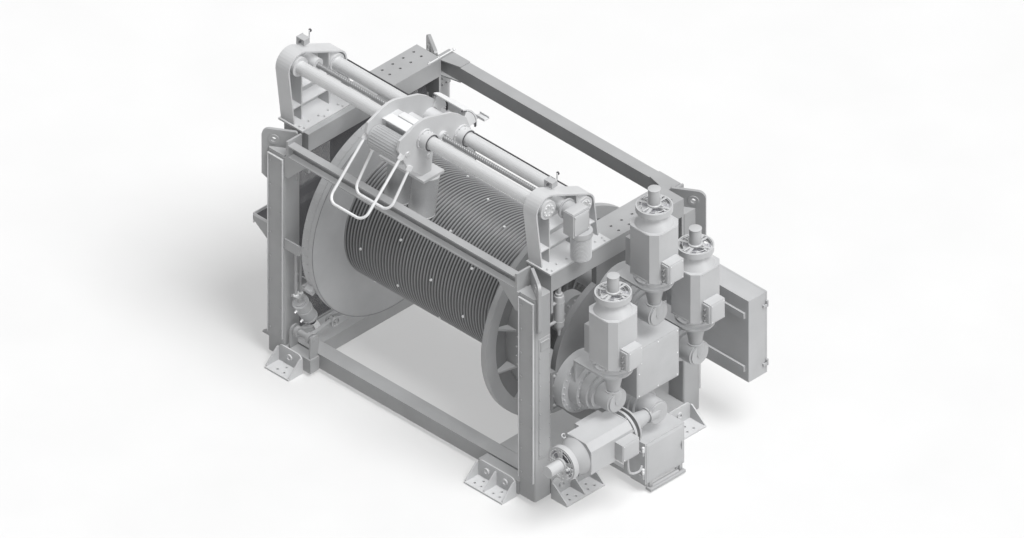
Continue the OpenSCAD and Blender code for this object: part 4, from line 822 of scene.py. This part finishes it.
class WINCH_OT_fan_grilles(bpy.types.Operator):
    """Set the wire grilles and their arms over the fans, and ring the encoders"""

    bl_idname = "winch.fan_grilles"
    bl_label = "Fan grilles"

    def execute(self, context):
        wire = sizes().wire * 1000
        reach, half, low, high = 146, 10, FAN_TOP - 3, FAN_TOP + 7
        wires = [hoop("wire", r, wire, local(MOTOR_X, 0, FAN_TOP), around=40, section=6)
                 for r in (114, 143)]
        arms = [slab("arm", local(MOTOR_X - x, -y, low), local(MOTOR_X + x, y, high), 2)
                for x, y in ((reach, half), (half, reach))]
        gland = [(0, 19), (18, 19), (20, 13), (38, 13), (40, 9)]
        arms.append(turned("gland", gland, local(MOTOR_X + 98, 0, FAN_TOP + 6), sides=6))
        foot, cap = [(0, 66), (14, 66), (20, 57)], [(0, 58), (6, 58), (8, 52)]
        rings = [turned("encoder_cap", cap, local(MOTOR_X, 0, ENCODER[1]), sides=32),
                 turned("encoder_foot", foot, local(MOTOR_X, 0, ENCODER[0]), sides=32)]
        for_units(((joined("grille", wires), "steel", "fan_grille"),
                   (joined("encoder", rings + arms), "motor", "encoder_rings")))
        return {"FINISHED"}


class WINCH_OT_towers(bpy.types.Operator):
    """Bolt the towers down and cap the guide shafts"""

    bl_idname = "winch.towers"
    bl_label = "Towers"

    def execute(self, context):
        r = sizes().frame_bolt
        spots = []
        for x0 in TOWER_X:
            for dx, rows in ((215, (215, 330, 450, 570, 690, 810, 895)),
                             (260, (230, 480, 700, 880))):
                spots += [(at(x0 + dx, y, GIRDER_TOP + TOWER_BASE_T), (0, 0, 1)) for y in rows]
        bolts("tower_bolts", spots, r * 0.8, finish="wind")
        cap, cap_t = [(0, 50), (0.5, 66), (6, 66), (8, 64), (8, 26), (4, 22)], 8
        caps, spots = [], []
        for centre in (FRONT_SHAFT, REAR_SHAFT):
            for x, d in ((SHAFT_ENDS[1], 1), (SHAFT_ENDS[0], -1)):
                caps.append(turned("cap", cap, at(x, *centre), (d, 0, 0)))
                spots += circle_of(8, 50, x + d * cap_t, centre, d)
        fit(joined("shaft_caps", caps), "wind")
        bolts("cap_bolts", spots, r * 0.55)
        return {"FINISHED"}


class WINCH_OT_lead_screw(bpy.types.Operator):
    """Cut the thread of the lead screw"""

    bl_idname = "winch.lead_screw"
    bl_label = "Lead screw"

    def execute(self, context):
        low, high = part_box("lead_screw")
        radius = (high.z - low.z) / 2
        depth = sizes().thread
        starts, pitch, per_turn = 4, 0.1, 24
        corners = 4 * starts
        clear()
        bpy.ops.mesh.primitive_circle_add(vertices=corners, radius=radius)
        screw = context.object
        screw.name = "threaded_screw"
        # Each start takes four corners: two in the groove and two a hair inside the bar's surface
        for k, vertex in enumerate(screw.data.vertices):
            r = radius - depth if k % 4 in (0, 3) else radius - 0.0002
            a = 2 * math.pi * k / corners
            vertex.co = (r * math.cos(a), r * math.sin(a), 0)
        thread_l = high.x - low.x
        turns = thread_l / pitch
        sections = int(turns * per_turn)
        twist = screw.modifiers.new("Thread", "SCREW")
        twist.axis = "Z"
        twist.angle = 2 * math.pi * turns
        twist.screw_offset = thread_l
        twist.steps = sections
        twist.render_steps = sections
        twist.use_merge_vertices = False
        bpy.ops.object.modifier_apply(modifier=twist.name)
        bpy.ops.object.mode_set(mode="EDIT")
        bpy.ops.mesh.select_all(action="DESELECT")
        bpy.ops.mesh.select_non_manifold()
        bpy.ops.mesh.edge_face_add()
        bpy.ops.mesh.select_all(action="SELECT")
        bpy.ops.mesh.normals_make_consistent(inside=False)
        bpy.ops.object.mode_set(mode="OBJECT")
        centre = (low + high) / 2
        settle(screw, Matrix.Translation(Vector((low.x, centre.y, centre.z))) @ facing((1, 0, 0)))
        fit(screw, "screw", "lead_screw", 60)
        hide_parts("lead_screw")
        return {"FINISHED"}


class WINCH_OT_carriage(bpy.types.Operator):
    """Fit the carriage with bolts, seals, nuts, grease points, covers and the cable stand"""

    bl_idname = "winch.carriage"
    bl_label = "Carriage"

    def execute(self, context):
        r = sizes().motor_bolt
        x0, x1 = CARRIAGE_X - CARRIAGE_HALF, CARRIAGE_X + CARRIAGE_HALF
        shafts, ends = (FRONT_SHAFT, REAR_SHAFT), ((x1, 1), (x0, -1))
        spots = []
        for centre in shafts:
            for x, d in ends:
                spots += circle_of(8, 90, x + d * 16, centre, d, 22.5)
        for x, d in ends:
            spots += circle_of(4, 43, x + d * 30, SCREW, d)
        bolts("bush_bolts", spots, r * 0.75, "carriage", "wind")
        seals = [hoop("seal", 73, 7, at(x + d * 94, *centre), (d, 0, 0))
                 for centre in shafts for x, d in ends]
        fit(joined("bush_seals", seals), "fan", "carriage")
        nut, nipple = [(0, 26), (8, 26), (10, 24)], [(-2, 7), (8, 7), (9, 4), (18, 4), (20, 2)]
        axles = [turned("axle", nut, at(x, y, z), (d, 0, 0), 6)
                 for _, y, z, _ in ENTRY_ROLLERS for x, d in ends]
        fit(joined("axle_nuts", axles), "steel", "carriage")
        grease = [turned("nipple", nipple, at(x + d * 60, y, z + 84), (0, 0, 1), 12)
                  for x, d in ends for y, z in shafts]
        fit(joined("grease_points", grease), "steel", "carriage")
        top = FRONT_SHAFT[1] + 88
        cover = [slab("cover", at(x0 + 42, 152, top), at(x1 - 42, 262, top + 5), 2),
                 slab("cover", at(CARRIAGE_X - 96, 262, top), at(CARRIAGE_X + 96, 338, top + 22), 3,
                      ((0, 0, 1), 8, 4))]
        fit(joined("cover_plates", cover), "loop", "carriage")
        trims, chute_r = [], 211
        arc = [math.radians(78 - 88 * k / 11) for k in range(12)]
        for x in (CARRIAGE_X - 176, CARRIAGE_X + 176):
            trims.append(pipe("trim", [at(x, REAR_SHAFT[0] + chute_r * math.cos(a),
                                          REAR_SHAFT[1] + chute_r * math.sin(a)) for a in arc], 9))
        fit(joined("chute_trims", trims), "fan", "carriage")
        tail, left, right, z = REAR_SHAFT[0] + 226, x1 - 70, x1 + 42, 2840
        stand = [slab("arm", at(x1 - 60, tail - 8, z - 14), at(x1 - 44, tail + 30, z + 2), 2),
                 slab("stand", at(left, tail + 18, z), at(right, tail + 86, z + 7), 2)]
        stand += [slab("stop", at(left, tail + y, z + 6), at(right, tail + y + 6, z + 26), 1)
                  for y in (20, 76)]
        fit(joined("cable_stand", stand), "wind", "carriage")
        return {"FINISHED"}


class WINCH_OT_rollers(bpy.types.Operator):
    """Set the staves of the entry rollers and the end discs of the side rollers"""

    bl_idname = "winch.rollers"
    bl_label = "Rollers"

    def execute(self, context):
        for node, y, z, radius in ENTRY_ROLLERS:
            stave = turned("stave", [(0, 4), (3, 6.5), (327, 6.5), (330, 4)],
                           at(CARRIAGE_X - 165, y, z) + local(0, 0, radius - 2.5), (1, 0, 0), 8)
            count = int(radius / 4)
            centre = at(0, y, z)
            steps = [Matrix.Translation(centre) @ Matrix.Rotation(2 * math.pi * k / count, 4, "X")
                     @ Matrix.Translation(-centre) for k in range(count)]
            fit(joined(node + "_staves", copied(stave, steps)), "roller", node)
        lean = math.radians(9)
        axis = Vector((0, math.sin(lean), math.cos(lean)))
        for node, side in (("side_roller_left", -1), ("side_roller_right", 1)):
            top = at(CARRIAGE_X + side * 149, 366, GIRDER_TOP + 157)
            disc = [(0, 112), (1, 123), (9, 123), (12, 119), (12, 112)]
            ends = [turned("end", disc, top - axis * d, axis, 56) for d in (0.014, 0.399)]
            fit(joined(node + "_ends", ends), "zinc", node)
        return {"FINISHED"}


class WINCH_OT_brake(bpy.types.Operator):
    """Rivet the brake band and fit the actuator with rings, hose stubs, boot and tie nuts"""

    bl_idname = "winch.brake"
    bl_label = "Brake"

    def execute(self, context):
        pattern = turned("rivet", [(-1, 8), (3, 7), (4.5, 4)], sides=12)
        spots, count, start, sweep, band_r = [], 64, -116, 318, 1.0045
        for k in range(count):
            a = math.radians(start + sweep * k / (count - 1))
            radial = Vector((0, math.cos(a), math.sin(a)))
            for x in (-2886, -2840):
                spot = at(x, MID_Y, DRUM_Z) + radial * band_r
                spots.append(Matrix.Translation(spot) @ facing(radial))
        fit(joined("band_rivets", copied(pattern, spots)), "gear")
        along = Vector((0, math.sin(ACTUATOR_LEAN), -math.cos(ACTUATOR_LEAN)))
        side = Vector((0, math.cos(ACTUATOR_LEAN), math.sin(ACTUATOR_LEAN)))
        top = at(ACTUATOR_X, *ACTUATOR_TOP)
        rings = [turned("ring", [(0, 72), (1, 77), (17, 77), (18, 72)], top + along * d, along)
                 for d in (0.056, 0.150, 0.280)]
        fit(joined("cylinder_rings", rings), "gear")
        port, fold = [(0, 12), (16, 12), (18, 9), (30, 9)], [(0, 31), (9, 38), (18, 31)]
        ports = [turned("port", port, top + along * d - side * 0.0715, -side, 6)
                 for d in (0.100, 0.250)]
        fit(joined("cylinder_ports", ports), "steel")
        boot = [turned("boot", fold, top + along * (0.3250 + 0.0175 * k), along, 24)
                for k in range(3)]
        fit(joined("rod_boot", boot), "fan", "brake_rod")
        nut = [(-1, 24), (1, 27), (14, 27), (16, 24), (17, 15), (30, 15), (32, 12)]
        nuts = [turned("nut", nut, at(ACTUATOR_X, y, z), (0, 0, up), 6)
                for y in (46, 100) for z, up in ((1225, -1), (742, 1))]
        fit(joined("tie_nuts", nuts), "zinc")
        return {"FINISHED"}


class WINCH_OT_screw_drive(bpy.types.Operator):
    """Fit the lead screw's gear motor with its covers and bolts"""

    bl_idname = "winch.screw_drive"
    bl_label = "Screw drive"

    def execute(self, context):
        y, z = SCREW
        face = 130
        top = slab("top", at(6, 356, z + 98), at(116, 545, z + 108), 3, ((0, 0, 1), 8, 3))
        side = slab("side", at(face - 8, 362, z - 120), at(face, 540, z + 86), 3,
                    ((1, 0, 0), 10, 3))
        fit(joined("screw_drive_covers", [top, side]), "motor")
        spots = [(at(face, corner, z + dz), (1, 0, 0))
                 for corner in (370, 532) for dz in (-108, 74)]
        bolts("screw_drive_bolts", spots, sizes().motor_bolt * 0.7, finish="motor")
        rib = [(0, 90), (0.5, 96), (5, 96), (5.5, 90)]
        ribs = [turned("rib", rib, at(70, y, z - 425 + 14 * k)) for k in range(16)]
        fit(joined("screw_motor_fins", ribs), "motor")
        return {"FINISHED"}


class WINCH_OT_cabinets(bpy.types.Operator):
    """Fit the cabinets with door panels, hinges, latches and conduits"""

    bl_idname = "winch.cabinets"
    bl_label = "Cabinets"

    def execute(self, context):
        # Control cabinet: its sides along Y and the outer face of its door
        y0, y1, face = MID_Y - 200, MID_Y + 284, 542
        panel = slab("control_door_panel", at(face - 1, y0 + 12, 115),
                     at(face + 6, y1 - 12, 522), 3, ((1, 0, 0), 14, 4))
        fit(panel, "cabinet", "control_door")
        locks = [turned("lock", [(0, 9), (4, 9), (5, 8)], at(face + 6, y1 - 34, z), (1, 0, 0), 20)
                 for z in (200, 420)]
        fit(joined("control_door_locks", locks), "cabinet", "control_door")
        knob = [(-30, 8), (-26, 13), (-4, 13), (0, 9), (4, 13), (26, 13), (30, 8)]
        knobs = [turned("knob", knob, at(face - 10, y0 - 14, z)) for z in (247, 479)]
        fit(joined("hinge_knobs", knobs), "loop")
        base = [slab("rail", at(505, 862, 18), at(572, 1296, 46), 3, ((0, 0, 1), 20, -8))]
        base += [slab("foot", at(300, y, 30), at(face - 2, y + 36, 103), 2) for y in (880, 1250)]
        fit(joined("cabinet_base", base), "frame")
        # Power cabinet: its sides along X and the outer face of its door
        x0, x1, face = -130, 572, FRAME_W + 259
        panel = slab("power_door_panel", at(x0 + 14, face - 1, 604),
                     at(x1 - 14, face + 6, 1443), 3, ((0, 1, 0), 16, 3))
        fit(panel, "cabinet", "power_door")
        large = [(0, 22), (16, 22), (18, 19), (34, 19), (40, 12)]
        small = [(0, 18), (14, 18), (16, 15), (28, 15), (33, 9)]
        glands = [turned("gland", large, at(-60 + 105 * k, FRAME_W + 130, 590), (0, 0, -1), 16)
                  for k in range(6)]
        glands += [turned("gland", small, at(400, y0 + 70 + 100 * k, 103), (0, 0, -1), 16)
                   for k in range(4)]
        fit(joined("cabinet_glands", glands), "fan")
        path = ((683, 466, 650), (683, 466, 560), (680, 480, 480), (640, 560, 400), (590, 680, 330),
                (540, 770, 290), (500, y0 + 2, 285))
        fit(pipe("conduit", [at(*point) for point in path], 11), "motor")
        # Slip ring box
        face = 503
        lid = slab("ring_box_lid", at(face - 5, 772, 1040), at(face, 1269, 1530), 2,
                   ((1, 0, 0), 16, 2))
        fit(lid, "cabinet")
        screws = [turned("screw", [(0, 7), (4, 7), (6, 5)], at(face, y, z), (1, 0, 0), 12)
                  for y in (784, 1020, 1257) for z in (1052, 1285, 1518) if (y, z) != (1020, 1285)]
        fit(joined("ring_box_screws", screws), "steel")
        return {"FINISHED"}


class WINCH_OT_switches(bpy.types.Operator):
    """Give the limit switches their arms, rollers and cable glands"""

    bl_idname = "winch.switches"
    bl_label = "Limit switches"

    def execute(self, context):
        arms, rollers, z = [], [], FRONT_SHAFT[1] + 160
        for x0 in TOWER_X:
            arms.append(slab("arm", at(x0 + 36, 504, z - 8), at(x0 + 48, 512, z + 66), 2))
            rollers.append(turned("roller", [(0, 14), (1, 16), (11, 16), (12, 14)],
                                  at(x0 + 42, 512, z + 60), (0, 1, 0), 24))
            rollers.append(turned("gland", [(0, 11), (10, 11), (12, 8), (20, 8)],
                                  at(x0 + 42, 400, z), (0, -1, 0), 16))
        fit(joined("switch_arms", arms), "steel")
        fit(joined("switch_rollers", rollers), "fan")
        return {"FINISHED"}


class WINCH_PT_panel(bpy.types.Panel):
    """Lists the winch's paints, sizes and steps in the sidebar"""

    bl_idname = "WINCH_PT_panel"
    bl_label = "Winch"
    bl_space_type = "VIEW_3D"
    bl_region_type = "UI"
    bl_category = "Winch"

    def draw(self, context):
        for group in (paints(), sizes()):
            for key in group.__annotations__:
                self.layout.prop(group, key)
        for operator in OPERATORS:
            self.layout.operator(operator.bl_idname)


OPERATORS = (
    WINCH_OT_finishes, WINCH_OT_stage, WINCH_OT_frame_fasteners, WINCH_OT_post_fittings,
    WINCH_OT_mesh_guard, WINCH_OT_drum, WINCH_OT_drive_units, WINCH_OT_fan_grilles,
    WINCH_OT_towers, WINCH_OT_lead_screw, WINCH_OT_carriage, WINCH_OT_rollers,
    WINCH_OT_brake, WINCH_OT_screw_drive, WINCH_OT_cabinets, WINCH_OT_switches,
)
CLASSES = (WinchPaints, WinchSizes, WINCH_PT_panel) + OPERATORS


def register():
    for cls in CLASSES:
        bpy.utils.register_class(cls)
    bpy.types.Scene.winch_paints = bpy.props.PointerProperty(type=WinchPaints)
    bpy.types.Scene.winch_sizes = bpy.props.PointerProperty(type=WinchSizes)


def unregister():
    del bpy.types.Scene.winch_sizes
    del bpy.types.Scene.winch_paints
    for cls in reversed(CLASSES):
        bpy.utils.unregister_class(cls)


def main():
    register()
    for operator in OPERATORS:
        getattr(bpy.ops.winch, operator.bl_idname.split(".")[1])()
    clear()


if __name__ == "__main__":
    main()
